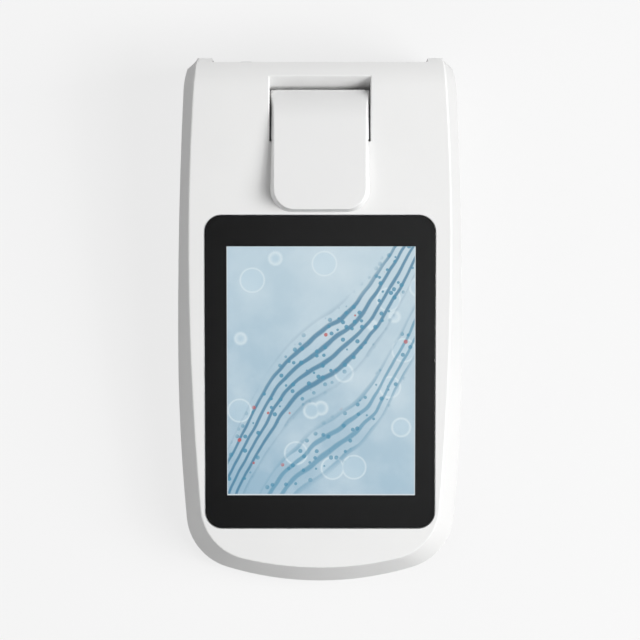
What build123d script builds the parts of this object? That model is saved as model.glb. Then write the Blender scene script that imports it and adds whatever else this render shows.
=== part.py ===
from build123d import *

import os
from math import cos, radians, sin, tan

os.makedirs("parts", exist_ok=True)

# Bench fluorometer: a sloping white case with a glass touch panel, and a small
# hinged lid over the well that takes one assay tube. X is across, Y runs to the
# rear, Z is up, and the feet stand on Z = 0 under the middle of the case.

# Case
case_length = 240.8
case_width = 131.6
deck_slope = 7.0
band_depth = 21.0
band_width = 5.6
wall = 2.4
foot_height = 3.0
toe_in = 3.8
roll_length = 14.0
roll_drop = 4.2
bay_width = 98.0
bay_depth = 1.8
bay_corner = 0.7
vent_y = -40.0
vent_pitch = 5.0
vent_count = 7
vent_length = 40.0
vent_width = 2.0
crease_radius = 1.0

# Touch panel and display
glass_width = 105.6
glass_length = 144.8
glass_corner = 7.8
glass_thickness = 1.8
glass_gap = 0.3
mask_thickness = 0.2
panel_to_lid = 74.35
screen_width = 86.4
screen_length = 115.2
screen_shift_x = 0.5
screen_shift_y = 0.35
ledge_thickness = 1.6
ledge_margin = 1.4
frame_margin = 3.6
gasket_thickness = 0.4
gasket_width = 4.0
cell_margin = 3.0
cell_thickness = 1.4
tray_width = 100.0
tray_length = 130.0
tray_thickness = 6.0
tray_gap = 0.2
clip_boss_radius = 2.6
clip_boss_gap = 0.5
clip_front_reach = 39.25
clip_rear_reach = 36.75
clip_reach = 3.0
clip_length = 10.0
clip_thickness = 1.2

# Lid and its pocket
lid_top = 56.6
lid_rise = 7.4643
lid_half = 21.1
lid_length = 54.6
lid_setback = 14.2
lid_side_draft = 15.0
lid_front_draft = 8.0
lid_corner = 9.5
lid_skirt_corner = 11.0
lid_back_corner = 1.5
lid_wall = 1.8
lid_gap = 0.35
lid_roll_length = 13.9
lid_roll_drop = 5.6
lid_edge = 0.5
lid_block_half = 22.3
lid_block_depth = 9.1
lid_front_clearance = 0.8
lid_core_setback = 3.4
lid_core_length = 9.0
lid_core_height = 7.0
lid_screw_x = 14.5
lid_screw_front_edge = 5.4
lid_screw_rear_edge = 4.6
lid_screw_skin = 0.6
liner_gap = 0.15
seal_thickness = 1.05
seal_radius = 10.6
seal_width = 2.6
hinge_depth = 8.1
barrel_radius = 4.0
lug_length = 9.4
lug_room = 2.5
pin_radius = 1.5
pin_seat = 0.02
pin_running = 0.05
bush_wall = 0.8
bush_flange = 0.5
bush_flange_radius = 2.7
pocket_half = 22.95
pocket_length = 29.6
pocket_setback = 8.2
pocket_depth = 13.6
pocket_web = 2.2
ramp_angle = 65.0
ramp_drop = 0.7
pocket_rim = 0.7
magnet_radius = 2.0
magnet_height = 2.0
magnet_x = 17.2
magnet_setback = 9.4
magnet_sink = 0.1
catch_height = 1.5

# Sample well and optics
well_to_pocket = 15.1
well_radius = 4.0
aperture_width = 26.0
aperture_length = 22.0
aperture_corner = 4.0
insert_gap = 0.25
insert_sink = 1.0
insert_flange = 1.2
insert_overlap = 1.5
dish_radius = 8.0
dish_drop = 0.5
dish_lip = 0.15
collar_wall = 2.0
collar_depth = 8.0
collar_length = 8.6
collar_mouth = 0.5
collar_flange = 2.0
collar_flange_height = 1.5
block_width = 40.0
block_length = 24.0
block_bottom = 14.0
block_depth = 11.1
block_floor = 3.0
beam_z = 30.0
beam_radius = 5.1
optic_gap = 0.05
sleeve_radius = 4.2
window_radius = 2.5
lens_start = 7.6
lens_thickness = 3.0
lens_bulge = 1.0
filter_start = 11.4
filter_thickness = 2.0
filter_seat = 0.5
led_radius = 2.5
led_length = 5.4
holder_start = 14.2
led_board_width = 18.0
led_board_height = 20.0
board_thickness = 1.6
lug_width = 7.0
lug_height = 3.0
lug_length_y = 14.0
detector_arm = 8.0
detector_width = 24.0
detector_height = 20.0
can_radius = 4.1
can_height = 4.2
shield_width = 14.0
shield_height = 13.0
shield_depth = 3.6
shield_wall = 0.4
sensor_x = 14.0
sensor_to_well = 4.5
sensor_width = 8.0
sensor_length = 6.0
sensor_thickness = 1.0
sensor_chip = 3.0
sensor_chip_height = 0.9

# Boards
board_width = 90.0
board_length = 108.0
board_to_well = 21.5
board_z = 12.0
post_inset = 5.0
post_radius = 3.2
post_grip = 5.0
board_corner = 2.0
io_width = 88.0
io_setback = 17.0
io_top = 33.6
rib_length = 8.0
rib_height = 9.0
rib_wall = 1.8
rib_gap = 0.1
coin_radius = 10.0
coin_height = 3.2
cell_x = 25.0
cell_offset = 18.0
cell_holder_wall = 1.2
cell_holder_height = 3.8
buzzer_x = -28.0
buzzer_radius = 6.0
buzzer_height = 6.0
buzzer_hole = 1.0

# Flat cables and their plugs
cable_thickness = 0.3
cable_bend = 1.5
plug_width = 4.0
plug_length = 5.0
plug_height = 3.2
plug_margin = 1.0
plug_edge = 4.0
lcd_plug_offset = -32.0
lcd_cable_width = 20.0
lcd_cable_bond = 12.0
io_cable_x = -31.8
io_cable_width = 8.0
io_cable_run = 12.0
io_plug_z = 18.0
led_plug_x = 23.6
led_plug_z = 24.0
led_cable_width = 3.6
led_cable_run = 4.0
detector_plug_x = 9.6

# Rear ports
panel_width = 92.0
panel_bottom = 9.0
panel_top = 34.4
panel_thickness = 1.2
port_gap = 0.25
port_proud = 0.4
port_z = 20.5
jack_x = 34.0
jack_width = 9.0
jack_height = 11.0
jack_nose_radius = 4.0
jack_bore_radius = 2.8
jack_bore_depth = 9.5
jack_pin_radius = 1.0
usb_b_x = 11.0
usb_b_width = 12.0
usb_b_height = 11.0
usb_a_x = -10.0
usb_a_width = 14.0
usb_a_height = 6.4
can_wall = 0.5
port_depth = 9.0
tongue_back = 1.2
tongue_b_width = 5.6
tongue_b_height = 3.2
tongue_a_width = 11.0
tongue_a_height = 1.8
tongue_a_rise = 1.2
button_x = -33.9
button_z = 29.5
button_width = 5.1
button_proud = 1.7
button_travel = 1.5
button_lip = 0.8
button_lip_length = 1.2
button_length = 7.1
button_edge = 0.4
bay_wall_gap = 0.3
switch_width = 7.0
switch_length = 8.0
plunger_radius = 1.5
plunger_length = 6.0
plunger_bottom = 0.5
plunger_running = 0.06

# Fasteners and feet
screw_radius = 1.5
screw_head_radius = 2.8
screw_head_height = 2.2
screw_clearance = 0.2
screw_fit = 0.02
shell_screw_front_x = 36.0
shell_screw_front_edge = 22.4
shell_screw_rear_x = 51.5
shell_screw_rear_edge = 24.4
shell_screw_seat = 4.0
insert_length = 6.0
insert_radius = 2.2
insert_start = 0.6
boss_radius = 4.2
column_radius = 4.8
small_screw_radius = 1.0
small_head_radius = 1.9
small_head_height = 1.2
small_screw_grip = 4.0
foot_radius = 6.5
foot_sink = 0.8
foot_x = 46.0
foot_front_edge = 36.4
foot_rear_edge = 38.4
plate_width = 52.0
plate_length = 26.0
plate_thickness = 0.3
plate_sink = 0.4
plate_y = 30.0

lean = radians(deck_slope)
rear = case_length / 2
bay_face = rear - bay_depth
inner_rear = bay_depth + wall
lid_rear = rear - lid_setback
lid_front = lid_rear - lid_length
pocket_rear = rear - pocket_setback
pocket_front = pocket_rear - pocket_length
well_y = pocket_front - well_to_pocket
magnet_y = lid_front + magnet_setback
sensor_y = well_y + sensor_to_well
panel_y = lid_front - panel_to_lid
board_rear = well_y - board_to_well
board_front = board_rear - board_length
board_y = (board_front + board_rear) / 2
board_plug_y = board_rear - plug_edge
lcd_plug_y = board_y + lcd_plug_offset
cell_y = board_y + cell_offset
io_y = bay_face - io_setback
lid_core_front = pocket_front + lid_core_setback
lid_block_bottom = lid_top - lid_block_depth
hinge_z = lid_top - hinge_depth
pocket_floor = lid_top - pocket_depth
collar_top = lid_top - collar_depth
collar_bottom = collar_top - collar_length
block_top = lid_top - block_depth
deck_height = lid_top - lid_rise - lid_front * tan(lean)
deck_plane = Plane(origin=(0, 0, deck_height), x_dir=(1, 0, 0), z_dir=(0, -sin(lean), cos(lean)))
rim_plane = deck_plane.offset(-band_depth)
base_plane = Plane.XY.offset(foot_height)
floor_z = foot_height + wall
floor_plane = Plane.XY.offset(floor_z)
upward = (Align.CENTER, Align.CENTER, Align.MIN)

# The case's three outlines in plan: the crease round the deck, the widest line
# where the shells part, and the edge of the base. Each value with _in is how much
# narrower the case is there than at its waist, on each side.
crease_shape = dict(
    half=case_width / 2 - band_width, waist=33.3, nose=7.5,
    corner_in=6.6, corner_back=9.6, corner_radius=25.8,
    shoulder_in=2.4, shoulder_back=14.6, turn_in=4.4, turn_back=2.2, heel_in=4.8,
)
rim_shape = dict(
    half=case_width / 2, waist=-10.3, nose=0.0,
    corner_in=5.3, corner_back=13.0, corner_radius=26.6,
    shoulder_in=3.0, shoulder_back=13.4, turn_in=4.9, turn_back=3.8, heel_in=9.6,
)
base_shape = dict(
    half=case_width / 2 - toe_in, waist=-8.0, nose=5.0,
    corner_in=5.0, corner_back=12.5, corner_radius=25.0,
    shoulder_in=3.0, shoulder_back=13.4, turn_in=4.9, turn_back=3.8, heel_in=9.4,
)


def along(plane, y):
    """Where a plan distance y falls on a plane that may slope."""
    return (y - plane.origin.Y) / plane.y_dir.Y


def deck_z(y, depth=0.0):
    """Height over plan distance y of the deck, or of a plane a depth below it."""
    return deck_height + y * tan(lean) - depth / cos(lean)


def upright(y):
    """A plane that stands across the case at y, with X and Z as its own axes."""
    return Plane(origin=(0, y, 0), x_dir=(1, 0, 0), z_dir=(0, -1, 0))


def case_outline(plane, shape, inset=0.0, rear_inset=0.0):
    """One outline of the case on a plane, drawn in from its walls by the insets."""
    back = rear - rear_inset
    nose = -rear + shape["nose"] + inset
    corners = []
    heels = []
    with BuildSketch(plane) as outline:
        with BuildLine():
            for hand in (1, -1):
                half = shape["half"] - inset
                waist = (hand * half, along(plane, shape["waist"]))
                corner = (hand * (half - shape["corner_in"]), along(plane, nose + shape["corner_back"]))
                shoulder = (hand * (half - shape["shoulder_in"]), along(plane, rear - shape["shoulder_back"]))
                turn = (hand * (half - shape["turn_in"]), along(plane, back - shape["turn_back"]))
                heel = (hand * (half - shape["heel_in"]), along(plane, back))
                TangentArc(waist, corner, tangent=(0, -1))
                side = TangentArc(waist, shoulder, tangent=(0, 1))
                TangentArc(shoulder, turn, tangent=side % 1)
                Line(turn, heel)
                corners.append(corner)
                heels.append(heel)
            ThreePointArc(corners[0], (0, along(plane, nose)), corners[1])
            Line(heels[0], heels[1])
        make_face()
        fillet(outline.vertices().group_by(Axis.Y)[0], shape["corner_radius"] - inset)
    return outline.sketch


def roll_cut(depth):
    """What the rolled rear edge takes off a skin that lies a depth below the deck."""
    start = (rear - roll_length, deck_z(rear - roll_length, depth))
    end = (rear, deck_z(rear, depth) - roll_drop)
    with BuildPart() as cut:
        with BuildSketch(Plane.YZ):
            with BuildLine():
                TangentArc(start, end, tangent=(cos(lean), sin(lean)))
                Polyline(end, (rear + wall, end[1]), (rear + wall, cut_top), (start[0], cut_top), start)
            make_face()
        extrude(amount=case_width, both=True)
    return cut.part


def bay_cut():
    """The recess for the ports, cut in the rear of both shells."""
    with BuildPart() as cut:
        with BuildSketch(Plane.XY):
            with Locations((0, rear)):
                RectangleRounded(bay_width, 2 * bay_depth, bay_corner)
        extrude(amount=cut_top)
    return cut.part


cut_top = deck_z(rear) + wall
shell_screw_spots = []
for screw_x, screw_y in (
    (shell_screw_front_x, shell_screw_front_edge - rear),
    (shell_screw_rear_x, rear - shell_screw_rear_edge),
):
    shell_screw_spots += [(screw_x, screw_y), (-screw_x, screw_y)]

panel_v = along(deck_plane, panel_y)
screen_centre = (screen_shift_x, panel_v + screen_shift_y)
glass_seat = glass_thickness + mask_thickness
ledge_depth = glass_seat + ledge_thickness
gasket_depth = ledge_depth + gasket_thickness
tray_depth = gasket_depth + tray_thickness
hinge_y = lid_rear - barrel_radius

# The display's clips stand on bosses beside its tray.
clip_x = tray_width / 2 + clip_boss_radius + clip_boss_gap
clip_spots = []
for clip_y in (panel_y - clip_front_reach, panel_y + clip_rear_reach):
    clip_spots += [(clip_x, along(deck_plane, clip_y)), (-clip_x, along(deck_plane, clip_y))]

# The lid's pocket: a flat floor, and a ramp that the lid's rear edge swings past
ramp_top = (pocket_rear, deck_z(pocket_rear) - ramp_drop)
ramp_foot = (pocket_rear - (ramp_top[1] - pocket_floor) / tan(radians(ramp_angle)), pocket_floor)
ramp_run = (ramp_drop + wall) / tan(radians(ramp_angle))
ramp_web = pocket_web / sin(radians(ramp_angle))
web_foot = ramp_foot[0] + ramp_web - pocket_web / tan(radians(ramp_angle))

# Hollow of the upper shell, with the glass frame, the lid's pocket and the bosses left in it
with BuildPart() as upper_hollow:
    loft(
        [
            case_outline(deck_plane.offset(-wall), crease_shape, wall, inner_rear),
            case_outline(rim_plane, rim_shape, wall, inner_rear),
        ],
        ruled=True,
    )
    add(roll_cut(wall), mode=Mode.SUBTRACT)
    with BuildSketch(deck_plane.offset(-ledge_depth)):
        with Locations((0, panel_v)):
            RectangleRounded(glass_width + 2 * frame_margin, glass_length + 2 * frame_margin, glass_corner)
    extrude(amount=ledge_depth, mode=Mode.SUBTRACT)
    with BuildSketch(Plane.YZ):
        with BuildLine():
            Polyline(
                (pocket_front - pocket_web, pocket_floor - pocket_web),
                (web_foot, pocket_floor - pocket_web),
                (pocket_rear + ramp_web, ramp_top[1]),
                (pocket_rear + ramp_web, cut_top),
                (pocket_front - pocket_web, cut_top),
                close=True,
            )
        make_face()
    extrude(amount=pocket_half + pocket_web, both=True, mode=Mode.SUBTRACT)
    with Locations(*[(x, y, 0) for x, y in shell_screw_spots]):
        Cylinder(boss_radius, cut_top, align=upward, mode=Mode.SUBTRACT)
    with BuildSketch(deck_plane.offset(-tray_depth)):
        with Locations(*clip_spots):
            Circle(clip_boss_radius)
    extrude(amount=tray_depth, mode=Mode.SUBTRACT)

# Upper shell: injection-moulded white ABS, deck, side band and rolled rear edge in one
with BuildPart() as upper_shell:
    loft([case_outline(deck_plane, crease_shape), case_outline(rim_plane, rim_shape)], ruled=True)
    add(roll_cut(0), mode=Mode.SUBTRACT)
    deck_face = upper_shell.faces().filter_by(GeomType.PLANE).sort_by(Axis.Z)[-1]
    roll_face = upper_shell.faces().filter_by(GeomType.CYLINDER)[0]
    fillet(
        deck_face.edges().filter_by(GeomType.CIRCLE) + roll_face.edges().filter_by(GeomType.BSPLINE),
        crease_radius,
    )
    # pocket of the lid
    with BuildSketch(Plane.YZ):
        with BuildLine():
            Polyline(
                (pocket_front, pocket_floor),
                ramp_foot,
                (ramp_top[0] + ramp_run, ramp_top[1] + ramp_drop + wall),
                (pocket_front, ramp_top[1] + ramp_drop + wall),
                close=True,
            )
        make_face()
    extrude(amount=pocket_half, both=True, mode=Mode.SUBTRACT)
    deck_face = upper_shell.faces().filter_by(GeomType.PLANE).sort_by(SortBy.AREA)[-1]
    roll_face = upper_shell.faces().filter_by(GeomType.CYLINDER).sort_by(SortBy.AREA)[-1]
    fillet(
        (deck_face.edges() + roll_face.edges()).filter_by_position(Axis.X, -pocket_half, pocket_half)
        .filter_by_position(Axis.Y, pocket_front - pocket_rim, pocket_rear + pocket_rim),
        pocket_rim,
    )
    add(upper_hollow.part, mode=Mode.SUBTRACT)
    add(bay_cut(), mode=Mode.SUBTRACT)
    # seat of the glass, and the window that the display shows through
    with BuildSketch(deck_plane.offset(-glass_seat)):
        with Locations((0, panel_v)):
            RectangleRounded(
                glass_width + 2 * glass_gap, glass_length + 2 * glass_gap, glass_corner + glass_gap
            )
    extrude(amount=glass_seat, mode=Mode.SUBTRACT)
    with BuildSketch(deck_plane.offset(-ledge_depth)):
        with Locations(screen_centre):
            Rectangle(screen_width + 2 * ledge_margin, screen_length + 2 * ledge_margin)
    extrude(amount=ledge_depth, mode=Mode.SUBTRACT)
    # opening over the sample well
    with BuildSketch(Plane.XY.offset(block_top)):
        with Locations((0, well_y)):
            RectangleRounded(aperture_width, aperture_length, aperture_corner)
    extrude(amount=cut_top - block_top, mode=Mode.SUBTRACT)
    # hinge pin's holes in the pocket's webs
    with BuildSketch(Plane.YZ):
        with Locations((hinge_y, hinge_z)):
            Circle(pin_radius + pin_seat)
    extrude(amount=pocket_half + pocket_web, both=True, mode=Mode.SUBTRACT)
    # holes for the brass inserts and for the display's clip screws
    for x, y in shell_screw_spots:
        with Locations((x, y, deck_z(y, band_depth) - wall)):
            Cylinder(insert_radius + screw_fit, insert_length + 2 * wall, align=upward, mode=Mode.SUBTRACT)
    with BuildSketch(deck_plane.offset(-tray_depth)):
        with Locations(*clip_spots):
            Circle(small_screw_radius + screw_fit)
    extrude(amount=tray_thickness, mode=Mode.SUBTRACT)
upper_shell.part.label = "upper_shell"
export_step(upper_shell.part, "parts/upper_shell.step")

lug_x = block_width / 2 + lug_width / 2
optics_posts = [(lug_x, well_y), (-lug_x, well_y)]
board_posts = []
for post_y in (board_front + post_inset, board_rear - post_inset):
    board_posts += [(board_width / 2 - post_inset, post_y), (post_inset - board_width / 2, post_y)]
rib_x = io_width / 2 - rib_length / 2
foot_spots = []
for foot_y in (foot_front_edge - rear, rear - foot_rear_edge):
    foot_spots += [(foot_x, foot_y), (-foot_x, foot_y)]
slot_length = board_thickness + 2 * rib_gap
io_rear = io_y + board_thickness

# Hollow of the lower shell, with its columns, posts and ribs left in it
with BuildPart() as lower_hollow:
    loft(
        [
            case_outline(floor_plane, base_shape, wall, inner_rear),
            case_outline(rim_plane, rim_shape, wall, inner_rear),
        ],
        ruled=True,
    )
    with Locations(*[(x, y, 0) for x, y in shell_screw_spots]):
        Cylinder(column_radius, cut_top, align=upward, mode=Mode.SUBTRACT)
    with Locations(*[(x, y, 0) for x, y in board_posts]):
        Cylinder(post_radius, board_z, align=upward, mode=Mode.SUBTRACT)
    with Locations(*[(x, y, 0) for x, y in optics_posts]):
        Cylinder(post_radius, block_bottom, align=upward, mode=Mode.SUBTRACT)
    with Locations((rib_x, io_y + board_thickness / 2, 0), (-rib_x, io_y + board_thickness / 2, 0)):
        Box(
            rib_length, slot_length + 2 * rib_wall, floor_z + rib_height,
            align=upward, mode=Mode.SUBTRACT,
        )

# Port shapes in the rear, as (x, z, width, height) round each port
jack_hole = (jack_x, port_z, jack_width, jack_height)
usb_b_hole = (usb_b_x, port_z, usb_b_width, usb_b_height)
usb_a_hole = (usb_a_x, port_z, usb_a_width, usb_a_height)
button_hole = (button_x, button_z, button_width, button_width)

# Lower shell: white ABS tray with the port bay, screw columns and board posts
with BuildPart() as lower_shell:
    loft([case_outline(base_plane, base_shape), case_outline(rim_plane, rim_shape)], ruled=True)
    add(lower_hollow.part, mode=Mode.SUBTRACT)
    add(bay_cut(), mode=Mode.SUBTRACT)
    # seat of the rear panel, and the ports' holes in the wall behind it
    with BuildSketch(upright(bay_face)):
        with Locations((0, (panel_bottom + panel_top) / 2)):
            Rectangle(panel_width + 2 * screw_clearance, panel_top - panel_bottom + 2 * screw_clearance)
    extrude(amount=panel_thickness, mode=Mode.SUBTRACT)
    with BuildSketch(upright(bay_face)):
        for x, z, width, height in (jack_hole, usb_b_hole, usb_a_hole, button_hole):
            with Locations((x, z)):
                Rectangle(width + 2 * port_gap, height + 2 * port_gap)
    extrude(amount=bay_depth + wall, mode=Mode.SUBTRACT)
    # slots of the upright board
    with Locations((0, io_y + board_thickness / 2, floor_z)):
        Box(io_width + 2 * rib_gap, slot_length, rib_height, align=upward, mode=Mode.SUBTRACT)
    # screw holes, feet and rating plate seats, vents
    for x, y in shell_screw_spots:
        seat_z = deck_z(y, band_depth) - shell_screw_seat
        with Locations((x, y, 0)):
            Cylinder(screw_radius + screw_clearance, cut_top, align=upward, mode=Mode.SUBTRACT)
            Cylinder(screw_head_radius + screw_clearance, seat_z, align=upward, mode=Mode.SUBTRACT)
    with Locations(*[(x, y, floor_z) for x, y in board_posts + optics_posts]):
        Cylinder(screw_radius + screw_fit, block_bottom, align=upward, mode=Mode.SUBTRACT)
    with Locations(*[(x, y, foot_height) for x, y in foot_spots]):
        Cylinder(foot_radius + screw_clearance, foot_sink, align=upward, mode=Mode.SUBTRACT)
    with Locations((0, plate_y, foot_height)):
        Box(
            plate_width + 2 * screw_clearance, plate_length + 2 * screw_clearance, plate_sink,
            align=upward, mode=Mode.SUBTRACT,
        )
    with BuildSketch(base_plane):
        with Locations((0, vent_y)):
            with GridLocations(0, vent_pitch, 1, vent_count):
                SlotOverall(vent_length, vent_width)
    extrude(amount=wall, mode=Mode.SUBTRACT)
lower_shell.part.label = "lower_shell"
export_step(lower_shell.part, "parts/lower_shell.step")

# Cover glass of the touch panel, flush with the deck
with BuildPart() as cover_glass:
    with BuildSketch(deck_plane.offset(-glass_thickness)):
        with Locations((0, panel_v)):
            RectangleRounded(glass_width, glass_length, glass_corner)
    extrude(amount=glass_thickness)
cover_glass.part.label = "cover_glass"
export_step(cover_glass.part, "parts/cover_glass.step")

# Black film behind the glass, which frames the screen
with BuildPart() as bezel_mask:
    with BuildSketch(deck_plane.offset(-glass_seat)):
        with Locations((0, panel_v)):
            RectangleRounded(glass_width, glass_length, glass_corner)
        with Locations(screen_centre):
            Rectangle(screen_width, screen_length, mode=Mode.SUBTRACT)
    extrude(amount=mask_thickness)
bezel_mask.part.label = "bezel_mask"
export_step(bezel_mask.part, "parts/bezel_mask.step")

# Foam between the display and the ledge round its window
with BuildPart() as lcd_gasket:
    with BuildSketch(deck_plane.offset(-gasket_depth)):
        with Locations(screen_centre):
            Rectangle(
                screen_width + 2 * (ledge_margin + gasket_width),
                screen_length + 2 * (ledge_margin + gasket_width),
            )
            Rectangle(screen_width + 2 * ledge_margin, screen_length + 2 * ledge_margin, mode=Mode.SUBTRACT)
    extrude(amount=gasket_thickness)
lcd_gasket.part.label = "lcd_gasket"
export_step(lcd_gasket.part, "parts/lcd_gasket.step")

# Display cell, 5.7 inch in portrait
with BuildPart() as lcd_panel:
    with BuildSketch(deck_plane.offset(-gasket_depth)):
        with Locations(screen_centre):
            Rectangle(screen_width + 2 * cell_margin, screen_length + 2 * cell_margin)
    extrude(amount=-cell_thickness)
lcd_panel.part.label = "lcd_panel"
export_step(lcd_panel.part, "parts/lcd_panel.step")

# Metal tray of the display, with the backlight below the cell
with BuildPart() as lcd_frame:
    with BuildSketch(deck_plane.offset(-tray_depth)):
        with Locations((0, panel_v)):
            Rectangle(tray_width, tray_length)
    extrude(amount=tray_thickness)
    with BuildSketch(deck_plane.offset(-gasket_depth)):
        with Locations(screen_centre):
            Rectangle(
                screen_width + 2 * (cell_margin + tray_gap), screen_length + 2 * (cell_margin + tray_gap)
            )
    extrude(amount=-cell_thickness, mode=Mode.SUBTRACT)
lcd_frame.part.label = "lcd_frame"
export_step(lcd_frame.part, "parts/lcd_frame.step")

# Four clips that hold the tray up against the ledge, and their screws
clip_plane = deck_plane.offset(-tray_depth)
clip_inner = tray_width / 2 - clip_reach
clip_outer = clip_x + clip_boss_radius
with BuildPart() as lcd_brackets:
    with BuildSketch(clip_plane):
        for x, v in clip_spots:
            hand = 1 if x > 0 else -1
            with Locations((hand * (clip_inner + clip_outer) / 2, v)):
                Rectangle(clip_outer - clip_inner, clip_length)
            with Locations((x, v)):
                Circle(small_screw_radius + screw_clearance, mode=Mode.SUBTRACT)
    extrude(amount=-clip_thickness)
lcd_brackets.part.label = "lcd_brackets"
export_step(lcd_brackets.part, "parts/lcd_brackets.step")

with BuildPart() as lcd_screws:
    with BuildSketch(clip_plane.offset(-clip_thickness)):
        with Locations(*clip_spots):
            Circle(small_screw_radius)
    extrude(amount=clip_thickness + small_screw_grip)
    with BuildSketch(clip_plane.offset(-clip_thickness)):
        with Locations(*clip_spots):
            Circle(small_head_radius)
    extrude(amount=-small_head_height)
lcd_screws.part.label = "lcd_screws"
export_step(lcd_screws.part, "parts/lcd_screws.step")


def lid_outline(z, inset=0.0, lid_back=lid_rear):
    """The lid's outline at a height: it widens downwards at the sides and the front."""
    fall = lid_top - z
    half = lid_half + fall * tan(radians(lid_side_draft)) - inset
    front = lid_front - fall * tan(radians(lid_front_draft)) + inset
    depth = fall / (lid_top - lid_block_bottom)
    front_radius = lid_corner + depth * (lid_skirt_corner - lid_corner) - inset
    with BuildSketch(Plane.XY.offset(z)) as outline:
        with Locations((0, (front + lid_back) / 2)):
            Rectangle(2 * half, lid_back - front)
        fillet(outline.vertices().group_by(Axis.Y)[0], front_radius)
        fillet(outline.vertices().group_by(Axis.Y)[-1], lid_back_corner * (1 + 2 * depth))
    return outline.sketch


lid_hollow_rear = pocket_front - liner_gap
lid_screw_spots = []
for spot_y in (lid_front + lid_screw_front_edge, pocket_front - lid_screw_rear_edge):
    lid_screw_spots += [(lid_screw_x, spot_y), (-lid_screw_x, spot_y)]
lug_start = lid_block_half - lug_length
lug_gap_front = lid_core_front + lid_core_length + lid_wall
bush_radius = pin_radius + pin_running + bush_wall
skirt_plane = deck_plane.offset(lid_gap)


def below_skirt():
    """All that lies under the lid's skirt, up to the front of its hinge block."""
    with BuildPart() as cut:
        with BuildSketch(skirt_plane):
            with Locations((0, along(skirt_plane, pocket_front + lid_front_clearance))):
                Rectangle(case_width, case_length / 2, align=(Align.CENTER, Align.MAX))
        extrude(amount=-lid_top / 2)
    return cut.part


# Lid: white ABS cover with a drafted skirt, and a hinge block that goes down into the pocket
with BuildPart() as lid_cover:
    loft([lid_outline(lid_top), lid_outline(lid_block_bottom)], ruled=True)
    # rolled rear edge
    roll_start = (lid_rear - lid_roll_length, lid_top)
    roll_end = (lid_rear, lid_top - lid_roll_drop)
    with BuildSketch(Plane.YZ):
        with BuildLine():
            TangentArc(roll_start, roll_end, tangent=(1, 0))
            Polyline(
                roll_end,
                (lid_rear + wall, roll_end[1]),
                (lid_rear + wall, lid_top + wall),
                (roll_start[0], lid_top + wall),
                roll_start,
            )
        make_face()
    extrude(amount=case_width / 2, both=True, mode=Mode.SUBTRACT)
    top_face = lid_cover.faces().filter_by(GeomType.PLANE).sort_by(Axis.Z)[-1]
    lid_roll = lid_cover.faces().filter_by(GeomType.CYLINDER).sort_by(Axis.Y)[-1]
    fillet(
        [
            edge for edge in top_face.edges() + lid_roll.edges()
            if abs(edge.center().X) > 1 or edge.center().Y < well_y
        ],
        lid_edge,
    )
    add(below_skirt(), mode=Mode.SUBTRACT)
    # inside the pocket the sides stop short of its walls
    for hand in (1, -1):
        with BuildSketch(Plane.XY.offset(lid_block_bottom)):
            with Locations((hand * lid_block_half, pocket_front + lid_front_clearance)):
                Rectangle(
                    lid_corner, case_length / 2,
                    align=(Align.MIN if hand > 0 else Align.MAX, Align.MIN),
                )
        extrude(amount=lid_top, mode=Mode.SUBTRACT)
    with BuildSketch(Plane.YZ):
        with Locations((hinge_y, hinge_z)):
            Circle(barrel_radius)
    extrude(amount=lid_block_half, both=True)
    # hollow over the sample well
    loft(
        [
            lid_outline(lid_top - lid_wall, lid_wall, lid_hollow_rear),
            lid_outline(lid_block_bottom, lid_wall, lid_hollow_rear),
        ],
        ruled=True,
        mode=Mode.SUBTRACT,
    )
    # cores in the hinge block, each side of a middle rib, and the gap between its lugs
    core_width = lid_block_half - 1.5 * lid_wall
    core_x = lid_wall / 2 + core_width / 2
    with Locations(
        (core_x, lid_core_front + lid_core_length / 2, lid_block_bottom),
        (-core_x, lid_core_front + lid_core_length / 2, lid_block_bottom),
    ):
        Box(core_width, lid_core_length, lid_core_height, align=upward, mode=Mode.SUBTRACT)
    with Locations((0, lug_gap_front, hinge_z - barrel_radius)):
        Box(
            2 * lug_start, lid_rear - lid_wall - lug_gap_front, barrel_radius + lug_room,
            align=(Align.CENTER, Align.MIN, Align.MIN), mode=Mode.SUBTRACT,
        )
    # seats of the bushes
    with BuildSketch(Plane.YZ):
        with Locations((hinge_y, hinge_z)):
            Circle(bush_radius + pin_seat)
    extrude(amount=lid_block_half, both=True, mode=Mode.SUBTRACT)
    # screw holes for the liner, blind under the top
    with BuildSketch(Plane.XY.offset(lid_top - lid_screw_skin)):
        with Locations(*lid_screw_spots):
            Circle(small_screw_radius + screw_fit)
    extrude(amount=-lid_wall, mode=Mode.SUBTRACT)
lid_cover.part.label = "lid_cover"
export_step(lid_cover.part, "parts/lid_cover.step")

# Black light-tight plug that fills the lid, with seats for two magnets and four screws
liner_inset = lid_wall + liner_gap
with BuildPart() as lid_liner:
    loft(
        [
            lid_outline(lid_top - lid_wall, liner_inset, lid_hollow_rear - liner_gap),
            lid_outline(lid_block_bottom, liner_inset, lid_hollow_rear - liner_gap),
        ],
        ruled=True,
    )
    add(below_skirt(), mode=Mode.SUBTRACT)
    with BuildSketch(skirt_plane):
        with Locations(*[(hand * magnet_x, along(skirt_plane, magnet_y)) for hand in (1, -1)]):
            Circle(magnet_radius + pin_seat)
    extrude(amount=magnet_sink + magnet_height, mode=Mode.SUBTRACT)
    for x, y in lid_screw_spots:
        with Locations((x, y, deck_z(y + small_head_radius, -lid_gap) + small_head_height)):
            Cylinder(
                small_head_radius + screw_clearance, small_head_height + wall,
                align=(Align.CENTER, Align.CENTER, Align.MAX), mode=Mode.SUBTRACT,
            )
            Cylinder(small_screw_radius + screw_clearance, lid_top, align=upward, mode=Mode.SUBTRACT)
lid_liner.part.label = "lid_liner"
export_step(lid_liner.part, "parts/lid_liner.step")

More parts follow.
